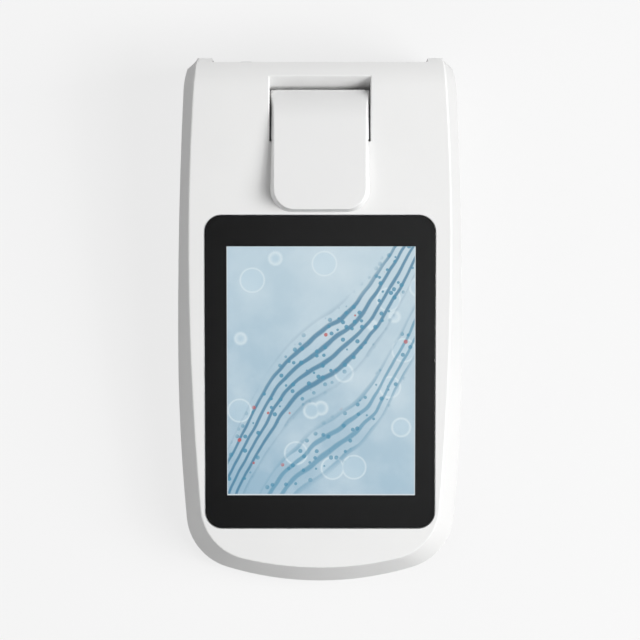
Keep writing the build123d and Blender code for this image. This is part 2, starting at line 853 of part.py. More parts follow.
# Foam ring that closes round the sample well
with BuildPart() as lid_seal:
    with BuildSketch(skirt_plane):
        with Locations((0, along(skirt_plane, well_y))):
            Circle(seal_radius)
            Circle(seal_radius - seal_width, mode=Mode.SUBTRACT)
    extrude(amount=-seal_thickness)
lid_seal.part.label = "lid_seal"
export_step(lid_seal.part, "parts/lid_seal.step")

# Two magnets in the liner
with BuildPart() as lid_magnets:
    with BuildSketch(skirt_plane.offset(magnet_sink)):
        with Locations(*[(hand * magnet_x, along(skirt_plane, magnet_y)) for hand in (1, -1)]):
            Circle(magnet_radius)
    extrude(amount=magnet_height)
lid_magnets.part.label = "lid_magnets"
export_step(lid_magnets.part, "parts/lid_magnets.step")

# Two steel discs bonded under the deck, which the magnets pull on
with BuildPart() as catch_discs:
    with BuildSketch(deck_plane.offset(-wall)):
        with Locations(*[(hand * magnet_x, along(deck_plane, magnet_y)) for hand in (1, -1)]):
            Circle(magnet_radius)
    extrude(amount=-catch_height)
catch_discs.part.label = "catch_discs"
export_step(catch_discs.part, "parts/catch_discs.step")

# Screws that hold the liner in the lid
with BuildPart() as lid_screws:
    for x, y in lid_screw_spots:
        head_z = deck_z(y + small_head_radius, -lid_gap)
        with Locations((x, y, head_z)):
            Cylinder(small_head_radius, small_head_height, align=upward)
            Cylinder(small_screw_radius, lid_top - lid_screw_skin - head_z, align=upward)
lid_screws.part.label = "lid_screws"
export_step(lid_screws.part, "parts/lid_screws.step")

# Bushes in the lid's lugs, whose flanges keep the lid off the pocket's sides
with BuildPart() as hinge_bushes:
    for hand in (1, -1):
        with BuildSketch(Plane.YZ.offset(hand * lug_start)):
            with Locations((hinge_y, hinge_z)):
                Circle(bush_radius)
        extrude(amount=hand * lug_length)
        with BuildSketch(Plane.YZ.offset(hand * lid_block_half)):
            with Locations((hinge_y, hinge_z)):
                Circle(bush_flange_radius)
        extrude(amount=hand * bush_flange)
    with BuildSketch(Plane.YZ):
        with Locations((hinge_y, hinge_z)):
            Circle(pin_radius + pin_running)
    extrude(amount=pocket_half, both=True, mode=Mode.SUBTRACT)
hinge_bushes.part.label = "hinge_bushes"
export_step(hinge_bushes.part, "parts/hinge_bushes.step")

# Steel pin of the lid, held in the pocket's webs
with BuildPart() as hinge_pin:
    with BuildSketch(Plane.YZ):
        with Locations((hinge_y, hinge_z)):
            Circle(pin_radius)
    extrude(amount=pocket_half + pocket_web, both=True)
hinge_pin.part.label = "hinge_pin"
export_step(hinge_pin.part, "parts/hinge_pin.step")

# Black insert in the deck round the well, with a level dish sunk in it
dish_rim = deck_z(well_y - dish_radius, insert_sink) - dish_lip
with BuildPart() as sample_bezel:
    with BuildSketch(deck_plane.offset(-insert_sink)):
        with Locations((0, along(deck_plane, well_y))):
            RectangleRounded(
                aperture_width - 2 * insert_gap, aperture_length - 2 * insert_gap,
                aperture_corner - insert_gap,
            )
    extrude(amount=insert_sink - wall - insert_flange)
    with BuildSketch(deck_plane.offset(-wall)):
        with Locations((0, along(deck_plane, well_y))):
            RectangleRounded(
                aperture_width + 2 * insert_overlap, aperture_length + 2 * insert_overlap,
                aperture_corner + insert_overlap,
            )
    extrude(amount=-insert_flange)
    with Locations((0, well_y, dish_rim)):
        Cylinder(dish_radius, cut_top - dish_rim, align=upward, mode=Mode.SUBTRACT)
        Cone(
            well_radius + collar_wall + insert_gap, dish_radius, dish_drop,
            align=(Align.CENTER, Align.CENTER, Align.MAX), mode=Mode.SUBTRACT,
        )
    with Locations((0, well_y, block_top)):
        Cylinder(
            well_radius + collar_wall + insert_gap, cut_top - block_top, align=upward, mode=Mode.SUBTRACT
        )
sample_bezel.part.label = "sample_bezel"
export_step(sample_bezel.part, "parts/sample_bezel.step")

# Collar that the assay tube slides into
with BuildPart() as sample_collar:
    with Locations((0, well_y, collar_bottom)):
        Cylinder(well_radius + collar_wall, collar_top - collar_bottom, align=upward)
    with Locations((0, well_y, block_top - collar_flange_height)):
        Cylinder(well_radius + collar_wall + collar_flange, collar_flange_height, align=upward)
    with Locations((0, well_y, collar_bottom)):
        Cylinder(well_radius, collar_top - collar_bottom, align=upward, mode=Mode.SUBTRACT)
    with Locations((0, well_y, collar_top - collar_mouth)):
        Cone(well_radius, well_radius + collar_mouth, collar_mouth, align=upward, mode=Mode.SUBTRACT)
sample_collar.part.label = "sample_collar"
export_step(sample_collar.part, "parts/sample_collar.step")

# Each beam leaves the well along a plane's X axis: blue and red light from the
# sides, and the fluorescence to the detector in front.
red_arm = Plane(origin=(0, well_y, beam_z), x_dir=(1, 0, 0), z_dir=(0, 0, 1))
blue_arm = Plane(origin=(0, well_y, beam_z), x_dir=(-1, 0, 0), z_dir=(0, 0, 1))
front_arm = Plane(origin=(0, well_y, beam_z), x_dir=(0, -1, 0), z_dir=(0, 0, 1))
side_start = block_width / 2
front_start = block_length / 2
housing_end = front_start + detector_arm


def turned(arm, *outline):
    """A round piece on a beam, from points given as distance from the well and radius."""
    with BuildPart() as piece:
        with BuildSketch(arm):
            with BuildLine():
                Polyline(*outline, close=True)
            make_face()
        revolve(axis=Axis(arm.origin, arm.x_dir))
    return piece.part


def rod(arm, start, end, radius):
    """A plain cylinder on a beam."""
    return turned(arm, (start, 0), (start, radius), (end, radius), (end, 0))


# Sleeve round the tube, with a window for each beam
with BuildPart() as sample_sleeve:
    with Locations((0, well_y, block_bottom + block_floor)):
        Cylinder(well_radius + collar_wall, collar_bottom - block_bottom - block_floor, align=upward)
        Cylinder(
            sleeve_radius, collar_bottom - block_bottom - block_floor, align=upward, mode=Mode.SUBTRACT
        )
    for arm in (red_arm, blue_arm, front_arm):
        add(rod(arm, 0, filter_start, window_radius), mode=Mode.SUBTRACT)
sample_sleeve.part.label = "sample_sleeve"
export_step(sample_sleeve.part, "parts/sample_sleeve.step")

# Optics block: black anodised, bored for the tube and the three beams
with BuildPart() as optics_block:
    with Locations((0, well_y, block_bottom)):
        Box(block_width, block_length, block_top - block_bottom, align=upward)
        Box(block_width + 2 * lug_width, lug_length_y, lug_height, align=upward)
    with Locations((0, well_y, block_bottom + block_floor)):
        Cylinder(well_radius + collar_wall + optic_gap, cut_top, align=upward, mode=Mode.SUBTRACT)
    with Locations((0, well_y, block_top - collar_flange_height)):
        Cylinder(
            well_radius + collar_wall + collar_flange + optic_gap, cut_top,
            align=upward, mode=Mode.SUBTRACT,
        )
    for arm, end in ((red_arm, side_start), (blue_arm, side_start), (front_arm, front_start)):
        add(rod(arm, 0, end, beam_radius), mode=Mode.SUBTRACT)
    with Locations(*[(x, y, block_bottom) for x, y in optics_posts]):
        Cylinder(screw_radius + screw_clearance, lug_height, align=upward, mode=Mode.SUBTRACT)
optics_block.part.label = "optics_block"
export_step(optics_block.part, "parts/optics_block.step")


def lens(arm):
    """A plano-convex lens, its flat face towards the tube."""
    rim = lens_start + lens_thickness - lens_bulge
    radius = beam_radius - optic_gap
    with BuildPart() as piece:
        with BuildSketch(arm):
            with BuildLine():
                TangentArc((lens_start + lens_thickness, 0), (rim, radius), tangent=(0, 1))
                Polyline((rim, radius), (lens_start, radius), (lens_start, 0), (rim + lens_bulge, 0))
            make_face()
        revolve(axis=Axis(arm.origin, arm.x_dir))
    return piece.part


with BuildPart() as lenses:
    for arm in (red_arm, blue_arm, front_arm):
        add(lens(arm))
lenses.part.label = "lenses"
export_step(lenses.part, "parts/lenses.step")

# Glass filters: two in front of the light sources, one in front of the detector
with BuildPart() as excitation_filters:
    for arm in (red_arm, blue_arm):
        add(rod(arm, filter_start, filter_start + filter_thickness, beam_radius - optic_gap))
excitation_filters.part.label = "excitation_filters"
export_step(excitation_filters.part, "parts/excitation_filters.step")

filter_front = front_start + filter_seat
with BuildPart() as emission_filter:
    add(rod(front_arm, filter_front, filter_front + filter_thickness, beam_radius - optic_gap))
emission_filter.part.label = "emission_filter"
export_step(emission_filter.part, "parts/emission_filter.step")

# Light sources with their centring rings and boards
with BuildPart() as led_holders:
    for arm in (red_arm, blue_arm):
        outer = beam_radius - optic_gap
        inner = led_radius + optic_gap
        add(turned(arm, (holder_start, inner), (holder_start, outer), (side_start, outer), (side_start, inner)))
led_holders.part.label = "led_holders"
export_step(led_holders.part, "parts/led_holders.step")


def led(arm):
    """A round light source whose base meets its board at the block's side."""
    tip = side_start - led_length
    with BuildPart() as piece:
        with BuildSketch(arm):
            with BuildLine():
                TangentArc((tip, 0), (tip + led_radius, led_radius), tangent=(0, 1))
                Polyline((tip + led_radius, led_radius), (side_start, led_radius), (side_start, 0), (tip, 0))
            make_face()
        revolve(axis=Axis(arm.origin, arm.x_dir))
    return piece.part


with BuildPart() as blue_led:
    add(led(blue_arm))
blue_led.part.label = "blue_led"
export_step(blue_led.part, "parts/blue_led.step")

with BuildPart() as red_led:
    add(led(red_arm))
red_led.part.label = "red_led"
export_step(red_led.part, "parts/red_led.step")

led_plug_y = well_y - led_board_width / 2 + plug_length / 2
with BuildPart() as led_boards:
    for hand in (1, -1):
        with Locations((hand * (side_start + board_thickness / 2), well_y, beam_z)):
            Box(board_thickness, led_board_width, led_board_height)
        with Locations((hand * (side_start + board_thickness + plug_width / 2), led_plug_y, led_plug_z)):
            Box(plug_width, plug_length, plug_height)
led_boards.part.label = "led_boards"
export_step(led_boards.part, "parts/led_boards.step")

# Detector: a housing on the block's front, with the filter, the diode and its board
with BuildPart() as detector_housing:
    with Locations((0, well_y - front_start - detector_arm / 2, beam_z)):
        Box(detector_width, detector_arm, detector_height)
    can_seat = housing_end - can_height
    add(rod(front_arm, front_start, filter_front + filter_thickness, beam_radius), mode=Mode.SUBTRACT)
    add(rod(front_arm, front_start, housing_end, window_radius), mode=Mode.SUBTRACT)
    add(rod(front_arm, can_seat, housing_end, can_radius + optic_gap), mode=Mode.SUBTRACT)
detector_housing.part.label = "detector_housing"
export_step(detector_housing.part, "parts/detector_housing.step")

with BuildPart() as photodiode:
    add(rod(front_arm, can_seat, housing_end, can_radius))
    add(rod(front_arm, can_seat, can_seat + shield_wall, window_radius), mode=Mode.SUBTRACT)
photodiode.part.label = "photodiode"
export_step(photodiode.part, "parts/photodiode.step")

detector_front = well_y - housing_end - board_thickness
with BuildPart() as detector_board:
    with Locations((0, detector_front + board_thickness / 2, beam_z)):
        Box(detector_width, board_thickness, detector_height)
    with Locations((detector_plug_x, detector_front - plug_width / 2, led_plug_z)):
        Box(plug_height, plug_width, plug_height)
detector_board.part.label = "detector_board"
export_step(detector_board.part, "parts/detector_board.step")

with BuildPart() as detector_shield:
    with Locations((0, detector_front - shield_depth / 2, beam_z)):
        Box(shield_width, shield_depth, shield_height)
    with Locations((0, detector_front - shield_depth / 2 + shield_wall, beam_z)):
        Box(
            shield_width - 2 * shield_wall, shield_depth, shield_height - 2 * shield_wall,
            mode=Mode.SUBTRACT,
        )
detector_shield.part.label = "detector_shield"
export_step(detector_shield.part, "parts/detector_shield.step")

# Small board under the deck that senses the lid's magnet
with BuildPart() as lid_sensor:
    with Locations((sensor_x, sensor_y, block_top)):
        Box(sensor_width, sensor_length, sensor_thickness, align=upward)
    with Locations((sensor_x, sensor_y, block_top + sensor_thickness)):
        Box(sensor_chip, sensor_chip, sensor_chip_height, align=upward)
lid_sensor.part.label = "lid_sensor"
export_step(lid_sensor.part, "parts/lid_sensor.step")

with BuildPart() as optics_screws:
    with Locations(*[(x, y, block_bottom + lug_height) for x, y in optics_posts]):
        Cylinder(screw_radius, lug_height + post_grip, align=(Align.CENTER, Align.CENTER, Align.MAX))
        Cylinder(screw_head_radius, screw_head_height, align=upward)
optics_screws.part.label = "optics_screws"
export_step(optics_screws.part, "parts/optics_screws.step")

# Main board on four posts, with its chips, clock battery and buzzer
board_top = board_z + board_thickness
with BuildPart() as main_board:
    with BuildSketch(Plane.XY.offset(board_z)):
        with Locations((0, board_y)):
            RectangleRounded(board_width, board_rear - board_front, board_corner)
        with Locations(*board_posts):
            Circle(screw_radius + screw_clearance, mode=Mode.SUBTRACT)
    extrude(amount=board_thickness)
main_board.part.label = "main_board"
export_step(main_board.part, "parts/main_board.step")

# On the board: processor, memory, power coils, and the sockets of the flat cables
with BuildPart() as board_chips:
    for x, y, width, length, height in (
        (-8.0, board_y - 14.0, 24.0, 24.0, 1.6),
        (18.0, board_y - 8.0, 12.0, 9.0, 1.2),
        (18.0, board_y - 20.0, 12.0, 9.0, 1.2),
        (-32.0, board_y - 4.0, 8.0, 8.0, 4.0),
        (-32.0, board_y - 16.0, 8.0, 8.0, 4.0),
        (32.0, board_y - 42.0, 6.0, 14.0, 3.0),
        (0.0, lcd_plug_y, lcd_cable_width + plug_margin, plug_width, plug_height),
        (io_cable_x, board_plug_y, io_cable_width + plug_margin, plug_width, plug_height),
        (led_plug_x, board_plug_y, led_cable_width + plug_margin, plug_width, plug_height),
        (-led_plug_x, board_plug_y, led_cable_width + plug_margin, plug_width, plug_height),
        (detector_plug_x, board_plug_y, led_cable_width, plug_width, plug_height),
    ):
        with Locations((x, y, board_top)):
            Box(width, length, height, align=upward)
board_chips.part.label = "board_chips"
export_step(board_chips.part, "parts/board_chips.step")

with BuildPart() as cell_holder:
    with Locations((cell_x, cell_y, board_top)):
        Cylinder(coin_radius + cell_holder_wall + optic_gap, cell_holder_height, align=upward)
    with Locations((cell_x, cell_y, board_top + cell_holder_wall)):
        Cylinder(coin_radius + optic_gap, cell_holder_height, align=upward, mode=Mode.SUBTRACT)
    with Locations((cell_x + coin_radius, cell_y, board_top + cell_holder_wall)):
        Box(coin_radius, coin_radius, cell_holder_height, align=upward, mode=Mode.SUBTRACT)
cell_holder.part.label = "cell_holder"
export_step(cell_holder.part, "parts/cell_holder.step")

with BuildPart() as coin_cell:
    with Locations((cell_x, cell_y, board_top + cell_holder_wall)):
        Cylinder(coin_radius, coin_height, align=upward)
coin_cell.part.label = "coin_cell"
export_step(coin_cell.part, "parts/coin_cell.step")

with BuildPart() as buzzer:
    with Locations((buzzer_x, cell_y, board_top)):
        Cylinder(buzzer_radius, buzzer_height, align=upward)
        Cylinder(buzzer_hole, buzzer_height, align=upward, mode=Mode.SUBTRACT)
        Cylinder(buzzer_radius, buzzer_height / 2, align=upward)
buzzer.part.label = "buzzer"
export_step(buzzer.part, "parts/buzzer.step")

with BuildPart() as board_screws:
    with Locations(*[(x, y, board_top) for x, y in board_posts]):
        Cylinder(screw_radius, board_thickness + post_grip, align=(Align.CENTER, Align.CENTER, Align.MAX))
        Cylinder(screw_head_radius, screw_head_height, align=upward)
board_screws.part.label = "board_screws"
export_step(board_screws.part, "parts/board_screws.step")


def ribbon(x, width, bend, *route):
    """A flat cable across X that follows a route of (y, z) points."""
    with BuildPart() as cable:
        with BuildSketch(Plane.YZ.offset(x)):
            with BuildLine():
                FilletPolyline(*route, radius=bend)
            trace(line_width=cable_thickness)
        extrude(amount=width / 2, both=True)
    return cable.part


# Flat cables: display, ports, light sources and detector to the main board
plug_top = board_top + plug_height
plug_mid = board_top + plug_height / 2
plug_rear = board_plug_y + plug_width / 2
with BuildPart() as lcd_cable:
    tray_end = lcd_plug_y + lcd_cable_bond
    touch = tray_depth + cable_thickness / 2
    add(
        ribbon(
            0, lcd_cable_width, cable_bend,
            (tray_end, deck_z(tray_end, touch)),
            (lcd_plug_y, deck_z(lcd_plug_y, touch)),
            (lcd_plug_y, plug_top),
        )
    )
lcd_cable.part.label = "lcd_cable"
export_step(lcd_cable.part, "parts/lcd_cable.step")

io_plug_front = io_y - plug_width
with BuildPart() as io_cable:
    add(
        ribbon(
            io_cable_x, io_cable_width, cable_bend,
            (io_plug_front, io_plug_z),
            (io_plug_front - io_cable_run, io_plug_z),
            (plug_rear + io_cable_run, plug_mid),
            (plug_rear, plug_mid),
        )
    )
io_cable.part.label = "io_cable"
export_step(io_cable.part, "parts/io_cable.step")

led_plug_front = led_plug_y - plug_length / 2
with BuildPart() as led_cables:
    for x in (led_plug_x, -led_plug_x):
        add(
            ribbon(
                x, led_cable_width, cable_bend,
                (led_plug_front, led_plug_z),
                (led_plug_front - led_cable_run, led_plug_z),
                (plug_rear + led_cable_run, plug_mid),
                (plug_rear, plug_mid),
            )
        )
led_cables.part.label = "led_cables"
export_step(led_cables.part, "parts/led_cables.step")

detector_plug_y = detector_front - plug_width / 2
detector_plug_bottom = led_plug_z - plug_height / 2
with BuildPart() as detector_cable:
    add(
        ribbon(
            detector_plug_x, led_cable_width, cable_bend,
            (detector_plug_y, detector_plug_bottom),
            (detector_plug_y, (detector_plug_bottom + plug_top) / 2 + cable_bend / 2),
            (board_plug_y, (detector_plug_bottom + plug_top) / 2 - cable_bend / 2),
            (board_plug_y, plug_top),
        )
    )
detector_cable.part.label = "detector_cable"
export_step(detector_cable.part, "parts/detector_cable.step")

# Upright board that carries the rear ports, standing in the lower shell's ribs
with BuildPart() as io_board:
    with Locations((0, io_y + board_thickness / 2, floor_z)):
        Box(io_width, board_thickness, io_top - floor_z, align=upward)
    with Locations((io_cable_x, io_y - plug_width / 2, io_plug_z)):
        Box(io_cable_width + plug_margin, plug_width, plug_height)
io_board.part.label = "io_board"
export_step(io_board.part, "parts/io_board.step")

# Power inlet: body, round nose through the panel, bore and centre pin
port_end = bay_face + port_proud
with BuildPart() as dc_jack:
    with BuildSketch(upright(io_rear)):
        with Locations((jack_x, port_z)):
            Rectangle(jack_width, jack_height)
    extrude(amount=-(bay_face - panel_thickness - port_gap - io_rear))
    with BuildSketch(upright(port_end)):
        with Locations((jack_x, port_z)):
            Circle(jack_nose_radius)
    extrude(amount=port_end - io_rear)
    with BuildSketch(upright(port_end)):
        with Locations((jack_x, port_z)):
            Circle(jack_bore_radius)
            Circle(jack_pin_radius, mode=Mode.SUBTRACT)
    extrude(amount=jack_bore_depth, mode=Mode.SUBTRACT)
dc_jack.part.label = "dc_jack"
export_step(dc_jack.part, "parts/dc_jack.step")


def port_can(x, width, height):
    """A metal socket shell on the upright board, open to the rear."""
    with BuildPart() as can:
        with BuildSketch(upright(io_rear)):
            with Locations((x, port_z)):
                Rectangle(width, height)
        extrude(amount=-(port_end - io_rear))
        with BuildSketch(upright(port_end)):
            with Locations((x, port_z)):
                Rectangle(width - 2 * can_wall, height - 2 * can_wall)
        extrude(amount=port_depth, mode=Mode.SUBTRACT)
    return can.part


with BuildPart() as usb_b_socket:
    add(port_can(usb_b_x, usb_b_width, usb_b_height))
usb_b_socket.part.label = "usb_b_socket"
export_step(usb_b_socket.part, "parts/usb_b_socket.step")

with BuildPart() as usb_a_socket:
    add(port_can(usb_a_x, usb_a_width, usb_a_height))
usb_a_socket.part.label = "usb_a_socket"
export_step(usb_a_socket.part, "parts/usb_a_socket.step")

# Contact tongues inside the two sockets
tongue_length = port_depth - tongue_back
with BuildPart() as socket_tongues:
    with BuildSketch(upright(port_end - port_depth)):
        with Locations((usb_b_x, port_z)):
            Rectangle(tongue_b_width, tongue_b_height)
        with Locations((usb_a_x, port_z + tongue_a_rise)):
            Rectangle(tongue_a_width, tongue_a_height)
    extrude(amount=-tongue_length)
socket_tongues.part.label = "socket_tongues"
export_step(socket_tongues.part, "parts/socket_tongues.step")

# Power switch on the upright board, its stem, and the button that pushes it
switch_front = io_rear + switch_length
button_inner = bay_face + button_proud - button_length
stem_back = button_inner - plunger_length
with BuildPart() as power_switch:
    with BuildSketch(upright(io_rear)):
        with Locations((button_x, button_z)):
            Rectangle(switch_width, switch_width)
    extrude(amount=-switch_length)
    with BuildSketch(upright(switch_front)):
        with Locations((button_x, button_z)):
            Circle(plunger_radius + plunger_running)
    extrude(amount=switch_front - stem_back + button_travel + plunger_bottom, mode=Mode.SUBTRACT)
power_switch.part.label = "power_switch"
export_step(power_switch.part, "parts/power_switch.step")

with BuildPart() as switch_plunger:
    with BuildSketch(upright(button_inner)):
        with Locations((button_x, button_z)):
            Circle(plunger_radius)
    extrude(amount=plunger_length)
switch_plunger.part.label = "switch_plunger"
export_step(switch_plunger.part, "parts/switch_plunger.step")

lip_back = bay_face - bay_wall_gap - wall
with BuildPart() as power_button:
    with BuildSketch(upright(button_inner)):
        with Locations((button_x, button_z)):
            Rectangle(button_width, button_width)
    extrude(amount=-button_length)
    fillet(power_button.faces().sort_by(Axis.Y)[-1].edges(), button_edge)
    with BuildSketch(upright(lip_back)):
        with Locations((button_x, button_z)):
            Rectangle(button_width + 2 * button_lip, button_width + 2 * button_lip)
    extrude(amount=button_lip_length)
power_button.part.label = "power_button"
export_step(power_button.part, "parts/power_button.step")

# Grey plate round the ports, flush in the bay's face
with BuildPart() as rear_panel:
    with BuildSketch(upright(bay_face)):
        with Locations((0, (panel_bottom + panel_top) / 2)):
            Rectangle(panel_width, panel_top - panel_bottom)
        with Locations((jack_x, port_z)):
            Circle(jack_nose_radius + port_gap, mode=Mode.SUBTRACT)
        for x, z, width, height in (usb_b_hole, usb_a_hole, button_hole):
            with Locations((x, z)):
                Rectangle(width + 2 * port_gap, height + 2 * port_gap, mode=Mode.SUBTRACT)
    extrude(amount=panel_thickness)
rear_panel.part.label = "rear_panel"
export_step(rear_panel.part, "parts/rear_panel.step")

# Brass inserts in the upper shell's bosses, and the screws that come up to them
with BuildPart() as shell_inserts:
    for x, y in shell_screw_spots:
        with Locations((x, y, deck_z(y, band_depth) + insert_start)):
            Cylinder(insert_radius, insert_length, align=upward)
            Cylinder(screw_radius + screw_fit, insert_length, align=upward, mode=Mode.SUBTRACT)
shell_inserts.part.label = "shell_inserts"
export_step(shell_inserts.part, "parts/shell_inserts.step")

with BuildPart() as shell_screws:
    for x, y in shell_screw_spots:
        seat_z = deck_z(y, band_depth) - shell_screw_seat
        with Locations((x, y, seat_z)):
            Cylinder(screw_radius, shell_screw_seat + insert_start + insert_length, align=upward)
            Cylinder(screw_head_radius, screw_head_height, align=(Align.CENTER, Align.CENTER, Align.MAX))
shell_screws.part.label = "shell_screws"
export_step(shell_screws.part, "parts/shell_screws.step")

with BuildPart() as rubber_feet:
    with Locations(*[(x, y, 0) for x, y in foot_spots]):
        Cylinder(foot_radius, foot_height + foot_sink, align=upward)
rubber_feet.part.label = "rubber_feet"
export_step(rubber_feet.part, "parts/rubber_feet.step")

# Bare metal plate in its seat under the base
with BuildPart() as rating_plate:
    with Locations((0, plate_y, foot_height + plate_sink)):
        Box(plate_width, plate_length, plate_thickness, align=(Align.CENTER, Align.CENTER, Align.MAX))
rating_plate.part.label = "rating_plate"
export_step(rating_plate.part, "parts/rating_plate.step")
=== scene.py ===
from math import cos, pi, radians, tan

import bpy
from mathutils import Matrix, Vector
from mathutils.geometry import convex_hull_2d, intersect_point_line


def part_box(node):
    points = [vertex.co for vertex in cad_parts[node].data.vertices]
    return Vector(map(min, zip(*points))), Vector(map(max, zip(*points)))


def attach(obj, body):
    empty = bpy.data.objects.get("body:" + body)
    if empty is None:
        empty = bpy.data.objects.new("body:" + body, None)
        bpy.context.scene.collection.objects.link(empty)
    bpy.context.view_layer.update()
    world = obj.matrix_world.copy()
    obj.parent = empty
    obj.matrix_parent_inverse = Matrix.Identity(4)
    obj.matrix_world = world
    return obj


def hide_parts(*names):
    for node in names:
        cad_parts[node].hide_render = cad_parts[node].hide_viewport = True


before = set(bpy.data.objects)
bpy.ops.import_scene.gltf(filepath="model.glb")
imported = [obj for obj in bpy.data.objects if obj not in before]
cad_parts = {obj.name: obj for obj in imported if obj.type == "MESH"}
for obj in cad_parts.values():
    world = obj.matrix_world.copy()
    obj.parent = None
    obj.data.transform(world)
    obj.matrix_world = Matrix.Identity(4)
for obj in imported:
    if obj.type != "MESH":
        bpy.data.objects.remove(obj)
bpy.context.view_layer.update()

# Lower shell: the base tray, injection-moulded in white ABS with a fine spark-eroded
# texture. Its rim meets the upper shell in a small V groove that runs round the case.
mm = 0.001
hair = 0.01 * mm
weld_distance = 0.002 * mm
flat_angle = radians(0.4)
gloss_swing = 0.07
grain_height = 0.2
plastic_wear = {"Radius": 0.4 * mm, "Gain": 4.0}
deck_slope = radians(7.0)
deck_height = 42.8 * mm
seam_depth = 21.0 * mm
seam_middle = deck_height - seam_depth / cos(deck_slope)
seam_chamfer = 0.25 * mm
seam_reach = 0.3 * mm
bay_half = 50.0 * mm
bay_face = 118.6 * mm


def shader_node(tree, kind, values=(), **settings):
    """One shader node with its settings and the values of its sockets."""
    made = tree.nodes.new("ShaderNode" + kind)
    for name, value in settings.items():
        setattr(made, name, value)
    for socket, value in dict(values).items():
        made.inputs[socket].default_value = value
    return made


def wire(source, output, target, socket):
    """Joins an output of one node to a socket of another."""
    source.id_data.links.new(source.outputs[output], target.inputs[socket])


def own_place(tree):
    """The object's own coordinates, as a node and the name of its output."""
    return shader_node(tree, "TexCoord"), "Object"


def textured(tree, kind, place, values=(), **settings):
    """A texture laid out by a place, which is a node and the name of its output."""
    made = shader_node(tree, "Tex" + kind, values, **settings)
    wire(*place, made, "Vector")
    return made


def reckon(tree, operation, first, second=0.0, clamp=False):
    """A math node. Each term is a number, or a node and the name of its output."""
    made = shader_node(tree, "Math", operation=operation, use_clamp=clamp)
    for place, term in enumerate((first, second)):
        if isinstance(term, tuple):
            wire(*term, made, place)
        else:
            made.inputs[place].default_value = term
    return made, "Value"


def ranged(tree, term, **limits):
    """A value carried over from one range to another."""
    values = {limit.replace("_", " "): value for limit, value in limits.items()}
    made = shader_node(tree, "MapRange", values)
    wire(*term, made, "Value")
    return made, "Result"


def effect(name, outputs, **inputs):
    """A node group with number sockets, and its two end nodes."""
    tree = bpy.data.node_groups.new(name, "ShaderNodeTree")
    for label, value in inputs.items():
        socket = tree.interface.new_socket(label, in_out="INPUT", socket_type="NodeSocketFloat")
        socket.default_value = value
    for label in outputs:
        tree.interface.new_socket(label, in_out="OUTPUT", socket_type="NodeSocketFloat")
    return tree, tree.nodes.new("NodeGroupInput"), tree.nodes.new("NodeGroupOutput")


# spark-eroded mould texture: fine pits with softer hollows between them
moulded_grain, grain_in, grain_out = effect("moulded_grain", ("Height", "Mottle"), Grain=0.0004)
grain_place = own_place(moulded_grain)
grain_scale = reckon(moulded_grain, "DIVIDE", 1.0, (grain_in, "Grain"))
pits = textured(moulded_grain, "Noise", grain_place, {"Detail": 3.0, "Roughness": 0.6})
cells = textured(moulded_grain, "Voronoi", grain_place, feature="SMOOTH_F1")
mottle = textured(
    moulded_grain, "Noise", grain_place, {"Scale": 22.0, "Detail": 5.0, "Roughness": 0.62}
)
for texture in (pits, cells):
    wire(*grain_scale, texture, "Scale")
pit_share = reckon(moulded_grain, "MULTIPLY", (pits, "Fac"), 0.6)
cell_share = reckon(moulded_grain, "MULTIPLY", (cells, "Distance"), 0.5)
wire(*reckon(moulded_grain, "ADD", pit_share, cell_share), grain_out, "Height")
wire(mottle, "Fac", grain_out, "Mottle")

# handling wear: convex edges, broken up along their length
edge_wear, wear_in, wear_out = effect("edge_wear", ("Edge",), Radius=0.0005, Gain=5.0)
rounded = shader_node(edge_wear, "Bevel", samples=4)
wire(wear_in, "Radius", rounded, "Radius")
face = shader_node(edge_wear, "NewGeometry")
turned_away = shader_node(edge_wear, "VectorMath", operation="DOT_PRODUCT")
wire(rounded, "Normal", turned_away, 0)
wire(face, "Normal", turned_away, 1)
turn = reckon(edge_wear, "SUBTRACT", 1.0, (turned_away, "Value"))
worn = reckon(edge_wear, "MULTIPLY", turn, (wear_in, "Gain"), clamp=True)
patches = textured(
    edge_wear, "Noise", own_place(edge_wear), {"Scale": 260.0, "Detail": 4.0, "Roughness": 0.7}
)
patchy = ranged(edge_wear, (patches, "Fac"), From_Min=0.35, From_Max=0.65)
wire(*reckon(edge_wear, "MULTIPLY", worn, patchy), wear_out, "Edge")


def place_group(tree, group, **values):
    """A shared effect placed in a material with its own values."""
    made = tree.nodes.new("ShaderNodeGroup")
    made.node_tree = group
    for socket, value in values.items():
        made.inputs[socket].default_value = value
    return made


def new_finish(name, **plain):
    """A material with its shader, whose plain sockets hold these values."""
    material = bpy.data.materials.new(name)
    material.use_nodes = True
    shader = material.node_tree.nodes["Principled BSDF"]
    for socket, value in plain.items():
        shader.inputs[socket.replace("_", " ")].default_value = value
    return material, material.node_tree, shader


def blended(tree, factor, first, second):
    """A colour between two colours. Each is a colour, or a node and its output."""
    made = shader_node(tree, "Mix", data_type="RGBA")
    wire(*factor, made, 0)
    for place, colour in ((6, first), (7, second)):
        if isinstance(colour[0], float):
            made.inputs[place].default_value = (*colour, 1.0)
        else:
            wire(*colour, made, place)
    return made, 2


def raised(tree, height, strength, distance):
    """Lets a height, which is a node and its output, show in a material's shading."""
    bump = shader_node(tree, "Bump", {"Strength": strength, "Distance": distance})
    wire(*height, bump, "Height")
    wire(bump, "Normal", tree.nodes["Principled BSDF"], "Normal")


